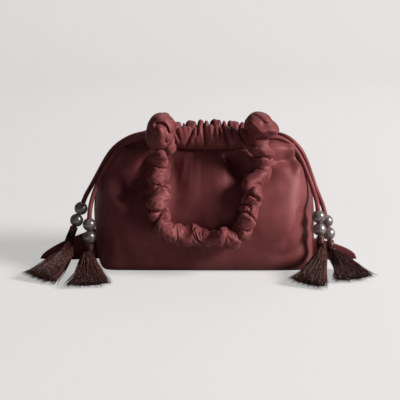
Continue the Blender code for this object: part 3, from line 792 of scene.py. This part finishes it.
def gathered_tube(length):
    """A straight tube of cloth with uneven folds across it, longer than the cord that it is
    gathered on, then settled as cloth does. Gives points [ring, place, 3] in metres, x along it.
    """
    around, along = HANDLE_GRID
    radius = HANDLE_TUBE
    draw = random.Random(HANDLE_SEED)
    angle = np.linspace(0, 2 * math.pi, around + 1)[None, :]
    share = np.linspace(0, 1, along + 1)[:, None]
    level = np.ones((along + 1, around + 1))
    size = level * LOOSE
    pull = np.zeros_like(level)
    spacing = [draw.uniform(*FOLD_SPACING) for _ in range(HANDLE_FOLDS + 1)]
    places = np.cumsum(spacing)[:-1] / sum(spacing)
    # Valleys across the tube: each wanders a little, reaches part of the way round it, and
    # draws the cloth beside it in
    for place in places:
        phase = [draw.uniform(0, 2 * math.pi) for _ in range(3)]
        sway_off = 0.010 * np.sin(angle + phase[0]) + 0.006 * np.sin(2 * angle + phase[1])
        away = share - place - sway_off
        width = draw.uniform(*FOLD_WIDTH)
        mask = np.clip(0.85 + 0.8 * np.cos(angle - phase[2]), 0, 1)
        depth = draw.uniform(*FOLD_DEPTH) * mask
        valley = np.exp(-np.sqrt((away / width) ** 2 + 0.02))
        size = np.minimum(size, 1.20 - 1.15 * depth * valley)
        pull -= 0.55 * away * depth * np.exp(-((away / (1.9 * width)) ** 2))
    # Slow swelling and drift of the whole tube
    turn = 2 * math.pi * share
    size = size + 0.09 * np.sin(9.3 * turn + 1.7 * np.sin(angle + 2 * turn))
    size = size + 0.03 * np.sin(31 * turn + 2.4 * np.sin(2 * angle - turn))
    drift_y = 0.22 * np.sin(7.1 * turn + 0.6) + 0.16 * np.sin(17.3 * turn)
    drift_z = 0.22 * np.sin(5.7 * turn + 2.0) + 0.18 * np.sin(14.9 * turn + 1.0)
    start = np.stack(
        (
            length * (share + pull),
            radius * (size * np.cos(angle) + drift_y),
            radius * (size * np.sin(angle) + drift_z),
        ),
        2,
    )
    true = np.stack(
        (
            HANDLE_FULLNESS * length * share * level,
            GROWN * radius * level * np.cos(angle),
            GROWN * radius * level * np.sin(angle),
        ),
        2,
    )
    start[:, -1] = start[:, 0]
    tube = grid_of(start * SIM_SCALE)
    places = tube.data.attributes.new("place", "INT", "POINT")
    places.data.foreach_set("value", range(len(tube.data.vertices)))
    edit(tube, lambda bm: bmesh.ops.remove_doubles(bm, verts=bm.verts, dist=1e-6))
    ring = [divmod(p.value, around + 1) for p in tube.data.attributes["place"].data]
    ring = [(j, i % around) for j, i in ring]
    settle(tube, [true[j, i] * SIM_SCALE for j, i in ring], ring, along)
    settled = np.zeros((along + 1, around, 3))
    for (j, i), vertex in zip(ring, tube.data.vertices):
        settled[j, i] = np.array(vertex.co) / SIM_SCALE
    bpy.data.objects.remove(tube, do_unlink=True)
    return settled


def settle(tube, true_places, ring, along):
    """Lets the cloth grow from its loose start towards its true size, over a round core."""
    tube.shape_key_add(name="start")
    key = tube.shape_key_add(name="true_size")
    for point, place in zip(key.data, true_places):
        point.co = place
    held = tube.vertex_groups.new(name="held")
    ends = [n for n, (j, _) in enumerate(ring) if j < 2 or j > along - 2]
    held.add(ends, 1.0, "REPLACE")
    cloth = tube.modifiers.new("cloth", "CLOTH")
    settings, contact = cloth.settings, cloth.collision_settings
    settings.quality = 5
    settings.mass = 0.3
    settings.air_damping = 5.0
    settings.tension_stiffness = settings.compression_stiffness = 20
    settings.tension_damping = settings.compression_damping = 10
    settings.shear_stiffness = settings.shear_damping = 8
    settings.bending_stiffness = SIM_BENDING
    settings.bending_damping = 1.0
    settings.vertex_group_mass = "held"
    settings.rest_shape_key = key
    settings.use_pressure = True
    settings.uniform_pressure_force = 1.0
    settings.effector_weights.gravity = 0
    contact.collision_quality = 2
    contact.distance_min = 0.008
    contact.use_self_collision = True
    contact.self_distance_min = 0.009
    length = max(v.co.x for v in tube.data.vertices)
    deselect_all()
    bpy.ops.mesh.primitive_cylinder_add(
        vertices=24,
        radius=SIM_SCALE * HANDLE_ROD,
        depth=1.2 * length,
        location=(length / 2, 0, 0),
    )
    rod = bpy.context.object
    rod.rotation_euler = (0, math.pi / 2, 0)
    rod.modifiers.new("contact", "COLLISION")
    rod.collision.thickness_outer = 0.01
    cloth.point_cache.frame_start = 1
    cloth.point_cache.frame_end = SIM_FRAMES
    for count in range(1, SIM_FRAMES + 1):
        bpy.context.scene.frame_set(count)
    graph = bpy.context.evaluated_depsgraph_get()
    settled = bpy.data.meshes.new_from_object(tube.evaluated_get(graph))
    tube.modifiers.clear()
    tube.shape_key_clear()
    for vertex, done in zip(tube.data.vertices, settled.vertices):
        vertex.co = done.co
    bpy.data.objects.remove(rod, do_unlink=True)
    bpy.context.scene.frame_set(1)


def casing_piece(name, face, valleys, look, seed):
    """The gathered tunnel at the mouth: round puffs between narrow valleys, flat at its foot."""
    around, along = CASING_GRID
    points = np.zeros((along + 1, around + 1, 3))
    angle = np.linspace(0, 2 * math.pi, around + 1)
    for j in range(along + 1):
        share = 2 * j / along - 1
        middle, thick, high = casing_middle(share, face)
        rise = np.sin(angle)
        size = np.full(around + 1, CASING_PUFF)
        pull = np.zeros(around + 1)
        # A valley leans as it rises, and a short one stays near the top
        for place, width, depth, lean, reach in valleys:
            away = share - place - lean * rise
            mask = np.clip((rise + 2 * reach - 1) / 0.35, 0, 1)
            near = np.exp(-np.sqrt((away / width) ** 2 + 0.03))
            size = np.minimum(size, CASING_PUFF + 0.04 * mask - 1.15 * depth * mask * near)
            pull -= 0.8 * away * np.exp(-((away / (1.8 * width)) ** 2)) * mask * depth
        coarse = 0.025 * np.sin(23 * share + 2.2 * np.sin(angle + seed))
        size += coarse + 0.02 * np.sin(61 * share + 3 * rise)
        end = math.sqrt(max(0.0, 1 - abs(share) ** 14))
        foot = np.clip((-rise - 0.35) / 0.65, 0, 1) ** 2
        points[j, :, 0] = middle[0] + pull * CASING_HALF * np.abs(size)
        points[j, :, 1] = middle[1] + thick * size * end * np.cos(angle) * (1 - 0.7 * foot)
        points[j, :, 2] = middle[2] + high * np.where(rise > 0, size * end, 1.0) * rise
    return closed_piece(points, f"{name}_gathers", look, name)


def knob_piece(side, look):
    """The wide puff with which the handle starts at the mouth: one lobe of folded cloth."""
    (middle_x, middle_z), outline, creases, curl = KNOBS[side]
    curl_x, curl_z, curl_wide, curl_high, curl_width, curl_depth, curl_turn, curl_span = curl
    turns = [math.radians(a) for a, _ in outline]
    reach = [r for _, r in outline]
    deselect_all()
    bpy.ops.mesh.primitive_cube_add(size=2)
    obj = bpy.context.object
    bpy.ops.object.mode_set(mode="EDIT")
    bpy.ops.mesh.subdivide(number_cuts=44)
    bpy.ops.object.mode_set(mode="OBJECT")
    for vertex in obj.data.vertices:
        way = vertex.co.normalized()
        turn = math.atan2(way.z, way.x)
        near = (np.interp(turn + d, turns, reach, period=2 * math.pi) for d in (-0.12, 0, 0.12))
        wide = sum(near) / 3
        flat = math.hypot(way.x, way.z) ** 0.8  # the lobe's front and back are a little flat
        x = middle_x + wide * flat * math.cos(turn)
        z = middle_z + wide * flat * math.sin(turn)
        y = KNOB_Y + (KNOB_BACK if way.y > 0 else KNOB_FRONT) * way.y
        raised = fold_field(np.array(x / 1000), np.array(z / 1000), creases) * 1000
        spot = Vector((x, y, z))
        rough = noise.noise(spot / 11) * 1.3 + noise.noise(spot / 4.5) * 0.4
        round_x, round_z = (x - curl_x) / curl_wide, (z - curl_z) / curl_high
        swing = math.degrees(math.atan2(round_z, round_x)) - curl_turn
        swing = (swing + 180) % 360 - 180
        arc = min(1.0, max(0.0, (curl_span - abs(swing)) / 25))
        away = (math.hypot(round_x, round_z) - 1) / curl_width
        raised += curl_depth * arc * math.exp(-(away**2))
        y -= (raised + rough) * min(1.0, max(0.0, 0.5 - 1.4 * way.y))
        vertex.co = Vector((x, y, z)) / 1000
    edit(obj, face_outwards)
    obj.data.shade_smooth()
    return finish_piece(obj, f"{side}_handle_puff", look, nodes=["handle_cover"])


def skin_tree(pieces):
    """The finished cloth that the handle lies on, for ray casts."""
    verts, faces = [], []
    for obj in pieces:
        first = len(verts)
        verts += [v.co.copy() for v in obj.data.vertices]
        faces += [[first + k for k in p.vertices] for p in obj.data.polygons]
    return BVHTree.FromPolygons(verts, faces)


def handle_piece(look, cloth_behind):
    """The ruched tube, gathered on its core and laid along the handle's route."""
    around, along = HANDLE_GRID
    fine = resampled(spline_points(handle_route(), 0.002), count=HANDLE_STOPS)
    length = line_length(fine)
    rings = gathered_tube(length)
    frames = tube_rings(fine, [1.0] * len(fine), 4)
    out = np.array([[tuple(p) for p in ring] for ring in frames]) - fine[:, None]
    side, up = out[:, 0], out[:, 1]
    stops = np.linspace(0, length, HANDLE_STOPS)
    x, a, b = (rings[:, :, k].reshape(-1) for k in range(3))

    def at(values):
        return np.stack([np.interp(x, stops, values[:, k]) for k in range(3)], axis=1)

    edge = np.minimum(x, length - x) / length
    size = np.interp(edge, (0, 0.06, 0.10, 0.16), (0.5, 0.5, 0.92, 1.0))
    points = at(fine) + at(side) * (size * a)[:, None] + at(up) * (size * b)[:, None]
    # Where the tube would sink into the cloth behind it, its back is pressed flat instead
    tree = skin_tree(cloth_behind)
    share = x / length
    centre = at(fine)
    for n in np.nonzero((share > 0.09) & (share < 0.91))[0]:
        spot = points[n]
        hit = tree.ray_cast(Vector((spot[0], -0.2, spot[2])), Vector((0, 1, 0)))[0]
        if hit and spot[1] > centre[n, 1]:
            room = max(0.0005, hit.y - 0.0006 - centre[n, 1])
            spot[1] = centre[n, 1] + room * math.tanh((spot[1] - centre[n, 1]) / room)
    laid = points.reshape(along + 1, around, 3)
    laid = np.concatenate([laid, laid[:, :1]], axis=1)
    return closed_piece(laid, "ruched_handle", look, "handle_cover", levels=1)


def cord_piece(name, points, look, node):
    """One stretch of string, as a round curve with closed ends."""
    curve = bpy.data.curves.new(name, "CURVE")
    curve.dimensions = "3D"
    curve.bevel_depth = CORD / 2
    curve.bevel_resolution = 5
    curve.use_fill_caps = True
    spline = curve.splines.new("POLY")
    spline.points.add(len(points) - 1)
    for spot, point in zip(spline.points, points):
        spot.co = (*point, 1.0)
    obj = new_object(name, curve)
    curve.materials.append(look)
    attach(obj, "pouch")
    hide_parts(node)
    return obj


def line_length(points):
    return float(np.sum(np.linalg.norm(np.diff(np.array(points, float), axis=0), axis=1)))


def free_route(side, end):
    """Points of one hanging end, from the casing's end to the binding."""
    hang = HANGS[side, end]
    sign = SIGNS[side]
    face = FRONT if end == "front" else BACK
    level = CORD_LEVELS[side == "right"]
    out = casing_middle(sign, face)[0] + np.array((0, 0, level))
    rim = body_point(sign * RIM_PLACE, 1.0, face)
    rim = rim + np.array((0, 0, OFF_BODY + 2 * max(0.0, level)))
    start, down, length = bead_line(hang)
    over = [off_body(sign * s, v, where) for s, v, where in OVER[end]]
    lead_in = start - down * BEAD_LEAD
    route = [out, rim, *over, *hang["free"], lead_in, start, start + down * length]
    line = spline_points([tuple(p) for p in route], 0.006)
    for _ in range(6):
        line[1:-4] = 0.25 * line[:-5] + 0.5 * line[1:-4] + 0.25 * line[2:-3]
    return line


def hidden_route(side):
    """Points of the stretch inside the two casings and round the mouth's far end."""
    sign = SIGNS[side]
    level = CORD_LEVELS[side == "right"]
    up = np.array((0, 0, level))
    stops = [sign * (1 - k / 5) for k in range(11)]
    front, back = ([casing_middle(a, f)[0] + up for a in stops] for f in (FRONT, BACK))
    turn = []
    for k in range(1, 8):
        angle = math.pi * k / 8
        share = (1 - math.cos(angle)) / 2
        rise = U_RISE * math.sin(angle) if level > 0 else 0.0
        out = np.array((-sign * U_TURN * math.sin(angle), 0, rise))
        turn.append(front[-1] * (1 - share) + back[-1] * share + out)
    return [*front, *turn, *reversed(back)]


def bead_piece(name, body, place, axis, look):
    """A round bead with a bore: a ball opened at its poles, its rims drawn in and joined."""
    deselect_all()
    bpy.ops.mesh.primitive_uv_sphere_add(segments=40, ring_count=28, radius=BEAD / 2)
    obj = bpy.context.object
    rim = 1.15 * BEAD_HOLE / 2
    edit(
        obj,
        lambda bm: bmesh.ops.delete(
            bm,
            geom=[v for v in bm.verts if math.hypot(v.co.x, v.co.y) < rim],
            context="VERTS",
        ),
    )
    bpy.ops.object.mode_set(mode="EDIT")
    bpy.ops.mesh.select_mode(type="EDGE")
    bpy.ops.mesh.select_all(action="DESELECT")
    bpy.ops.mesh.select_non_manifold()
    inner = BEAD_HOLE / 2 * 0.94
    bpy.ops.mesh.extrude_edges_move()
    bpy.ops.object.mode_set(mode="OBJECT")
    for vertex in obj.data.vertices:
        if vertex.select:
            across = math.hypot(vertex.co.x, vertex.co.y)
            vertex.co.x *= inner / across
            vertex.co.y *= inner / across
            vertex.co.z *= 0.93
    bpy.ops.object.mode_set(mode="EDIT")
    bpy.ops.mesh.bridge_edge_loops(number_cuts=2)
    bpy.ops.object.mode_set(mode="OBJECT")
    edit(obj, face_outwards)
    turn = Vector(axis).to_track_quat("Z", "Y").to_matrix().to_4x4()
    obj.data.transform(Matrix.Translation(place) @ turn)
    obj.data.shade_smooth()
    node = name.replace("pearl", "bead")
    return finish_piece(obj, name, look, body=body, nodes=[node])


def binding_piece(name, top, down, look, node):
    """Thread wound round the tassel's neck, with the turns standing out."""
    rows, around = 104, 32
    points = np.zeros((rows + 1, around + 1, 3))
    axis = Vector(down)
    across = axis.orthogonal().normalized()
    other = axis.cross(across)
    for j in range(rows + 1):
        share = j / rows
        body = keyed(BINDING_SHAPE, share)
        for i in range(around + 1):
            angle = 2 * math.pi * i / around
            wind = 0.00022 * abs(math.sin(math.pi * BINDING_TURNS * share + angle / 2))
            radius = BINDING / 2 * body + wind - 0.0001
            spot = Vector(top) + axis * (BINDING_LENGTH * share)
            spot += radius * (math.cos(angle) * across + math.sin(angle) * other)
            points[j, i] = spot
    return closed_piece(points, name, look, node)


def skirt_line(hang):
    """The tassel's middle line from its neck to its tips."""
    top, down = binding_top(hang)
    neck = top + down * (BINDING_LENGTH + GAP)
    route = [tuple(neck - down * 0.004), tuple(neck + down * 0.006), *hang["fan"]]
    return resampled(spline_points(route, 0.002), count=SKIRT_STOPS + 1)


def skirt_sides(line, stop):
    """Directions across the tassel and up from its flat side, at a stop of its middle line."""
    ahead = Vector(line[min(stop + 1, SKIRT_STOPS)] - line[max(stop - 1, 0)]).normalized()
    across = (Vector((1, 0, 0)) - ahead * ahead.x).normalized()
    return across, ahead.cross(across)


def skirt_half_sizes(end_width, share):
    """Half width and half thickness of a tassel at this share of its length."""
    full, tips = SKIRT_HALF_THICK * 1.05, SKIRT_END_HALF_THICK
    wide = SKIRT_NECK + (end_width - SKIRT_NECK) * share**1.7
    return wide, keyed(((0, SKIRT_NECK), (0.55, full), (1, tips)), share)


def skirt_piece(name, hang, look, node, seed):
    """A tassel's silk threads: a full brush at the neck that fans out over the floor."""
    draw = random.Random(seed)
    line = skirt_line(hang)
    steps, sides = 11, 3
    frames = [skirt_sides(line, stop) for stop in range(SKIRT_STOPS + 1)]
    verts, faces = [], []
    for _ in range(THREADS):
        reach = math.sqrt(draw.uniform(0.05, 1.0))
        angle = draw.uniform(0, 2 * math.pi)
        a, b = reach * math.cos(angle), reach * math.sin(angle)
        long = draw.uniform(0.86, 1.0) if draw.random() < 0.85 else draw.uniform(0.7, 0.9)
        stray = draw.gauss(0, THREAD_STRAY)
        lift_off = abs(draw.gauss(0, THREAD_LIFT))
        wave, phase = draw.uniform(*THREAD_WAVE), draw.uniform(0, 2 * math.pi)
        thin = draw.uniform(*THREAD_RADIUS)
        first = len(verts)
        for k in range(steps):
            share = k / (steps - 1) * long
            at = share * SKIRT_STOPS
            low = min(SKIRT_STOPS - 1, int(at))
            middle = Vector(line[low]).lerp(Vector(line[low + 1]), at - low)
            across, up = frames[low]
            wide, thick = skirt_half_sizes(hang["fan_width"] * 1.04, share)
            curl = wave * math.sin(5.0 * share + phase) + stray * share**2
            spot = middle + across * (a * wide + curl) + up * (b * thick + lift_off * share)
            spot.z = max(spot.z, 0.0004 + 0.0012 * (1 - reach) * share)
            narrow = thin * (1.0 if k < steps - 1 else 0.35)
            for side in range(sides):
                turn = 2 * math.pi * side / sides
                verts.append(spot + narrow * (math.cos(turn) * across + math.sin(turn) * up))
        for k in range(steps - 1):
            for side in range(sides):
                here = first + k * sides + side
                there = first + k * sides + (side + 1) % sides
                faces.append((here, there, there + sides, here + sides))
        faces.append(tuple(first + side for side in reversed(range(sides))))
        faces.append(tuple(first + (steps - 1) * sides + side for side in range(sides)))
    mesh = bpy.data.meshes.new(name)
    mesh.from_pydata([tuple(p) for p in verts], [], faces)
    obj = new_object(name, mesh)
    edit(obj, face_outwards)
    obj.data.shade_smooth()
    return finish_piece(obj, name, look, nodes=[node])


def skirt_core(name, hang, look, node):
    """The dense heart of a tassel, under its loose threads, darker than the silk's own tone:
    painted shade inside the brush.
    """
    line = skirt_line(hang)
    rows, around = 30, 24
    points = np.zeros((rows + 1, around + 1, 3))
    for j in range(rows + 1):
        share = 0.90 * j / rows
        at = int(share * SKIRT_STOPS)
        across, up = skirt_sides(line, at)
        wide, thick = skirt_half_sizes(hang["fan_width"], share)
        for i in range(around + 1):
            angle = 2 * math.pi * (i % around) / around
            ripple = 1 + 0.05 * math.sin(9 * angle + j)
            spot = Vector(line[at]) + across * (0.86 * wide * ripple * math.cos(angle))
            spot += up * (0.80 * thick * ripple * math.sin(angle))
            spot.z = max(spot.z, 0.0003)
            points[j, i] = spot
    return closed_piece(points, name, look, node)


def stitch_row(name, face, look):
    """The line of stitches that closes a casing at its foot."""
    draw = random.Random(5)
    pitch, stitch, thick = 0.0030, 0.0021, 0.00032
    count = int(1.9 * CASING_HALF / pitch)
    deselect_all()
    made = []
    for k in range(count):
        along = -0.95 + 1.9 * k / (count - 1)
        middle, half, half_height = casing_middle(along, face)
        spot = middle + np.array((0, face * half * 0.36, -half_height * 0.93))
        bpy.ops.mesh.primitive_cylinder_add(
            vertices=6,
            radius=thick,
            depth=stitch,
            location=tuple(spot),
            rotation=(0, math.pi / 2 + draw.uniform(-0.06, 0.06), 0),
        )
        made.append(bpy.context.object)
    for obj in made:
        obj.select_set(True)
    bpy.context.view_layer.objects.active = made[0]
    bpy.ops.object.join()
    obj = bpy.context.object
    bpy.ops.object.transform_apply(location=True, rotation=True, scale=True)
    obj.data.shade_smooth()
    return finish_piece(obj, name, look)


def new_material(name):
    made = bpy.data.materials.new(name)
    made.use_nodes = True
    return made, made.node_tree, made.node_tree.nodes["Principled BSDF"]


def set_inputs(node, values):
    for key, value in values.items():
        node.inputs[key].default_value = value


def add_node(tree, kind, values=(), **settings):
    """A shader node with its settings and the values of its inputs."""
    node = tree.nodes.new(f"ShaderNode{kind}")
    for key, value in settings.items():
        setattr(node, key, value)
    set_inputs(node, dict(values))
    return node


def wire(tree, *joins):
    """Links nodes. Each join is a node and its output, then a node and its input."""
    for source, out, target, into in joins:
        tree.links.new(source.outputs[out], target.inputs[into])


def two_tones(tree, shader, scale, detail, tones, stops):
    """Clouds of two tones on a material. Gives the noise that they come from."""
    coords = add_node(tree, "TexCoord")
    cloud = add_node(tree, "TexNoise", {"Scale": scale, "Detail": detail})
    ramp = add_node(tree, "ValToRGB")
    for element, stop, tone in zip(ramp.color_ramp.elements, stops, tones):
        element.position = stop
        element.color = (*tone, 1)
    wire(
        tree,
        (coords, "Object", cloud, "Vector"),
        (cloud, "Fac", ramp, "Fac"),
        (ramp, "Color", shader, "Base Color"),
    )
    return cloud


def cloth_group():
    """Satin cloth: two tones, a fine diagonal weave and slubs."""
    tree = bpy.data.node_groups.new("satin_weave", "ShaderNodeTree")
    sockets = (
        ("Place", "INPUT", "Vector"),
        ("Deep", "INPUT", "Color"),
        ("Light", "INPUT", "Color"),
        ("Threads", "INPUT", "Float"),
        ("Color", "OUTPUT", "Color"),
        ("Roughness", "OUTPUT", "Float"),
        ("Height", "OUTPUT", "Float"),
    )
    for name, way, kind in sockets:
        tree.interface.new_socket(name=name, in_out=way, socket_type=f"NodeSocket{kind}")
    inside = tree.nodes.new("NodeGroupInput")
    outside = tree.nodes.new("NodeGroupOutput")
    weave = add_node(
        tree,
        "TexWave",
        {"Distortion": 0.6, "Detail": 2.0},
        wave_type="BANDS",
        bands_direction="DIAGONAL",
    )
    cloud = add_node(tree, "TexNoise", {"Scale": 38.0, "Detail": 4.0})
    slub = add_node(tree, "TexNoise", {"Scale": 900.0, "Detail": 3.0})
    blend = add_node(tree, "Mix", data_type="RGBA")
    soft = add_node(tree, "MapRange", {"From Min": 0.3, "From Max": 0.7})
    rough = add_node(tree, "MapRange", {"To Min": 0.36, "To Max": 0.48})
    total = add_node(tree, "Math", {1: 0.5}, operation="MULTIPLY_ADD")
    wire(
        tree,
        (inside, "Place", weave, "Vector"),
        (inside, "Place", cloud, "Vector"),
        (inside, "Place", slub, "Vector"),
        (inside, "Threads", weave, "Scale"),
        (cloud, "Fac", soft, "Value"),
        (soft, "Result", blend, "Factor"),
        (inside, "Deep", blend, "A"),
        (inside, "Light", blend, "B"),
        (blend, "Result", outside, "Color"),
        (slub, "Fac", rough, "Value"),
        (rough, "Result", outside, "Roughness"),
        (weave, "Fac", total, 0),
        (slub, "Fac", total, 2),
        (total, "Value", outside, "Height"),
    )
    return tree


def satin_material(name, group, tones, threads, bump):
    made, tree, shader = new_material(name)
    coords = add_node(tree, "TexCoord")
    weave = add_node(tree, "Group", node_tree=group)
    deep, light = tones
    set_inputs(weave, {"Deep": (*deep, 1), "Light": (*light, 1), "Threads": threads})
    raised = add_node(tree, "Bump", {"Strength": bump, "Distance": 0.0002})
    wire(
        tree,
        (coords, "Object", weave, "Place"),
        (weave, "Color", shader, "Base Color"),
        (weave, "Roughness", shader, "Roughness"),
        (weave, "Height", raised, "Height"),
        (raised, "Normal", shader, "Normal"),
    )
    sheen = {
        "Specular IOR Level": 0.30,
        "Specular Tint": (1.0, 0.50, 0.48, 1),
        "Sheen Weight": 0.12,
        "Sheen Roughness": 0.35,
        "Sheen Tint": (1.0, 0.55, 0.55, 1),
    }
    set_inputs(shader, sheen)
    return made


def pearl_material():
    made, tree, shader = new_material("dark_pearl")
    cloud = two_tones(tree, shader, 160.0, 5.0, PEARL, (0.35, 0.68))
    rough = add_node(tree, "MapRange", {"To Min": 0.26, "To Max": 0.40})
    wire(tree, (cloud, "Fac", rough, "Value"), (rough, "Result", shader, "Roughness"))
    set_inputs(shader, {"Metallic": 0.6, "Coat Weight": 0.6, "Coat Roughness": 0.08})
    return made


def thread_material(name, tones, share, roughness):
    """Silk threads: mostly dark, with some that catch a copper light."""
    made, tree, shader = new_material(name)
    two_tones(tree, shader, 700.0, 2.0, tones, (share, min(1.0, share + 0.16)))
    set_inputs(shader, {"Roughness": roughness, "Sheen Weight": 0.05})
    return made


def make_camera():
    data = bpy.data.cameras.new("camera")
    data.lens = CAMERA_LENS
    data.sensor_width = 36
    camera = new_object("camera", data)
    back = Vector((0, -math.cos(CAMERA_HEIGHT_ANGLE), math.sin(CAMERA_HEIGHT_ANGLE)))
    camera.location = CAMERA_AIM + back * CAMERA_DISTANCE
    camera.rotation_euler = (-back).to_track_quat("-Z", "Y").to_euler()
    bpy.context.scene.camera = camera


def backdrop_material():
    """Pale paper whose own tone shows to the camera, with the pouch's shadow on it."""
    made, tree, shader = new_material("pale_backdrop")
    paper = {
        "Base Color": (*BACKDROP_TONE, 1),
        "Roughness": 0.9,
        "Specular IOR Level": 0.1,
        "Emission Color": (1.0, 0.985, 0.975, 1),
    }
    set_inputs(shader, paper)
    path = add_node(tree, "LightPath")
    coords = add_node(tree, "TexCoord")
    parts = add_node(tree, "SeparateXYZ")
    reach = {
        "From Min": 0.3,
        "From Max": 3.5,
        "To Min": BACKDROP_GLOW,
        "To Max": BACKDROP_GLOW + BACKDROP_GLOW_RISE,
    }
    depth = add_node(tree, "MapRange", reach)
    glow = add_node(tree, "Math", operation="MULTIPLY")
    wire(
        tree,
        (coords, "Object", parts, "Vector"),
        (parts, "Y", depth, "Value"),
        (path, "Is Camera Ray", glow, 0),
        (depth, "Result", glow, 1),
        (glow, "Value", shader, "Emission Strength"),
    )
    return made


def make_stage():
    deselect_all()
    bpy.ops.mesh.primitive_plane_add(size=9, location=(0, 0, 0))
    floor = bpy.context.object
    bpy.ops.object.mode_set(mode="EDIT")
    bpy.ops.mesh.select_all(action="DESELECT")
    bpy.ops.object.mode_set(mode="OBJECT")
    for edge in floor.data.edges:
        edge.select = all(floor.data.vertices[v].co.y > 4 for v in edge.vertices)
    bpy.ops.object.mode_set(mode="EDIT")
    bpy.ops.mesh.select_mode(type="EDGE")
    bpy.ops.mesh.extrude_edges_move(TRANSFORM_OT_translate={"value": (0, 0, 6)})
    bpy.ops.object.mode_set(mode="OBJECT")
    apply_modifier(floor, "BEVEL", width=2.5, segments=24, affect="EDGES", limit_method="ANGLE")
    floor.data.shade_smooth()
    floor.name = "backdrop"
    floor.data.materials.append(backdrop_material())


def area_light(name, aim_height, size, energy, colour=(1, 1, 1)):
    data = bpy.data.lights.new(name, "AREA")
    data.size = size
    data.energy = energy
    data.color = colour
    lamp = new_object(name, data)
    lamp.location = LAMPS[name]
    aim = Vector((0, 0, aim_height)) - Vector(LAMPS[name])
    lamp.rotation_euler = aim.to_track_quat("-Z", "Y").to_euler()


def make_lights():
    area_light("key", 0.06, 1.3, KEY_ENERGY, (1, 0.985, 0.97))
    area_light("fill", 0.06, 1.6, FILL_ENERGY)
    area_light("top", 0.02, 1.2, TOP_ENERGY)
    world = bpy.data.worlds.new("studio")
    world.use_nodes = True
    air = world.node_tree.nodes["Background"]
    set_inputs(air, {"Color": (1, 0.99, 0.985, 1), "Strength": WORLD_LEVEL})
    bpy.context.scene.world = world
    bpy.context.scene.view_settings.view_transform = "Standard"


def main():
    make_camera()
    group = cloth_group()
    satin = satin_material("burgundy_satin", group, SATIN, 2600.0, 0.35)
    string = satin_material("string_satin", group, STRING_SATIN, 3200.0, 0.45)
    pearl = pearl_material()
    silk = thread_material("dark_silk", SILK, 0.51, 0.40)
    # the heart is darker than the silk itself: painted shade inside the tassel
    heart = thread_material("shaded_silk_heart", SHADED_SILK_HEART, 0.55, 0.6)
    wound = thread_material("wound_thread", WOUND_THREAD, 0.47, 0.34)
    cotton = thread_material("cotton_core", COTTON, 0.4, 0.9)

    strings = {}
    for side, end in HANGS:
        points = free_route(side, end)
        name = f"string_{side}_{end}"
        strings[side, end] = (cord_piece(name, points, string, f"drawstring_{side}"), points)
    for side in SIGNS:
        cord_piece(f"string_{side}_in_casings", hidden_route(side), string, f"drawstring_{side}")

    for number, ((side, end), hang) in enumerate(HANGS.items()):
        start, down, length = bead_line(hang)
        for k, level in enumerate(("upper", "lower")):
            place = Vector(hang["bead"]) + down * k * (2 * BEAD_POLE + GAP)
            name = f"{side}_{end}_{level}"
            bead_piece(f"pearl_{name}", f"{name}_bead", place, -down, pearl)
        name = f"{side}_{end}"
        binding_piece(f"winding_{name}", *binding_top(hang), wound, f"binding_{name}")
        node = f"tassel_{side}_{end}"
        skirt_piece(f"{node}_threads", hang, silk, node, 20 + number)
        skirt_core(f"{node}_heart", hang, heart, node)
        piece, points = strings[side, end]

    front = panel_piece("front_panel", FRONT, FRONT_GRID, FRONT_CREASES, satin, 1)
    back = panel_piece("back_panel", BACK, BACK_GRID, BACK_CREASES, satin, 4)
    front_casing = casing_piece("front_casing", FRONT, FRONT_VALLEYS, satin, 5)
    back_casing = casing_piece("back_casing", BACK, BACK_VALLEYS, satin, 8)
    handle = handle_piece(satin, [front, front_casing])
    for side in KNOBS:
        knob_piece(side, satin)
    stitch_row("front_casing_stitches", FRONT, string)
    stitch_row("back_casing_stitches", BACK, string)
    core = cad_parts["handle_core"]
    for place in core.material_slots:
        place.material = cotton

    make_stage()
    make_lights()


main()

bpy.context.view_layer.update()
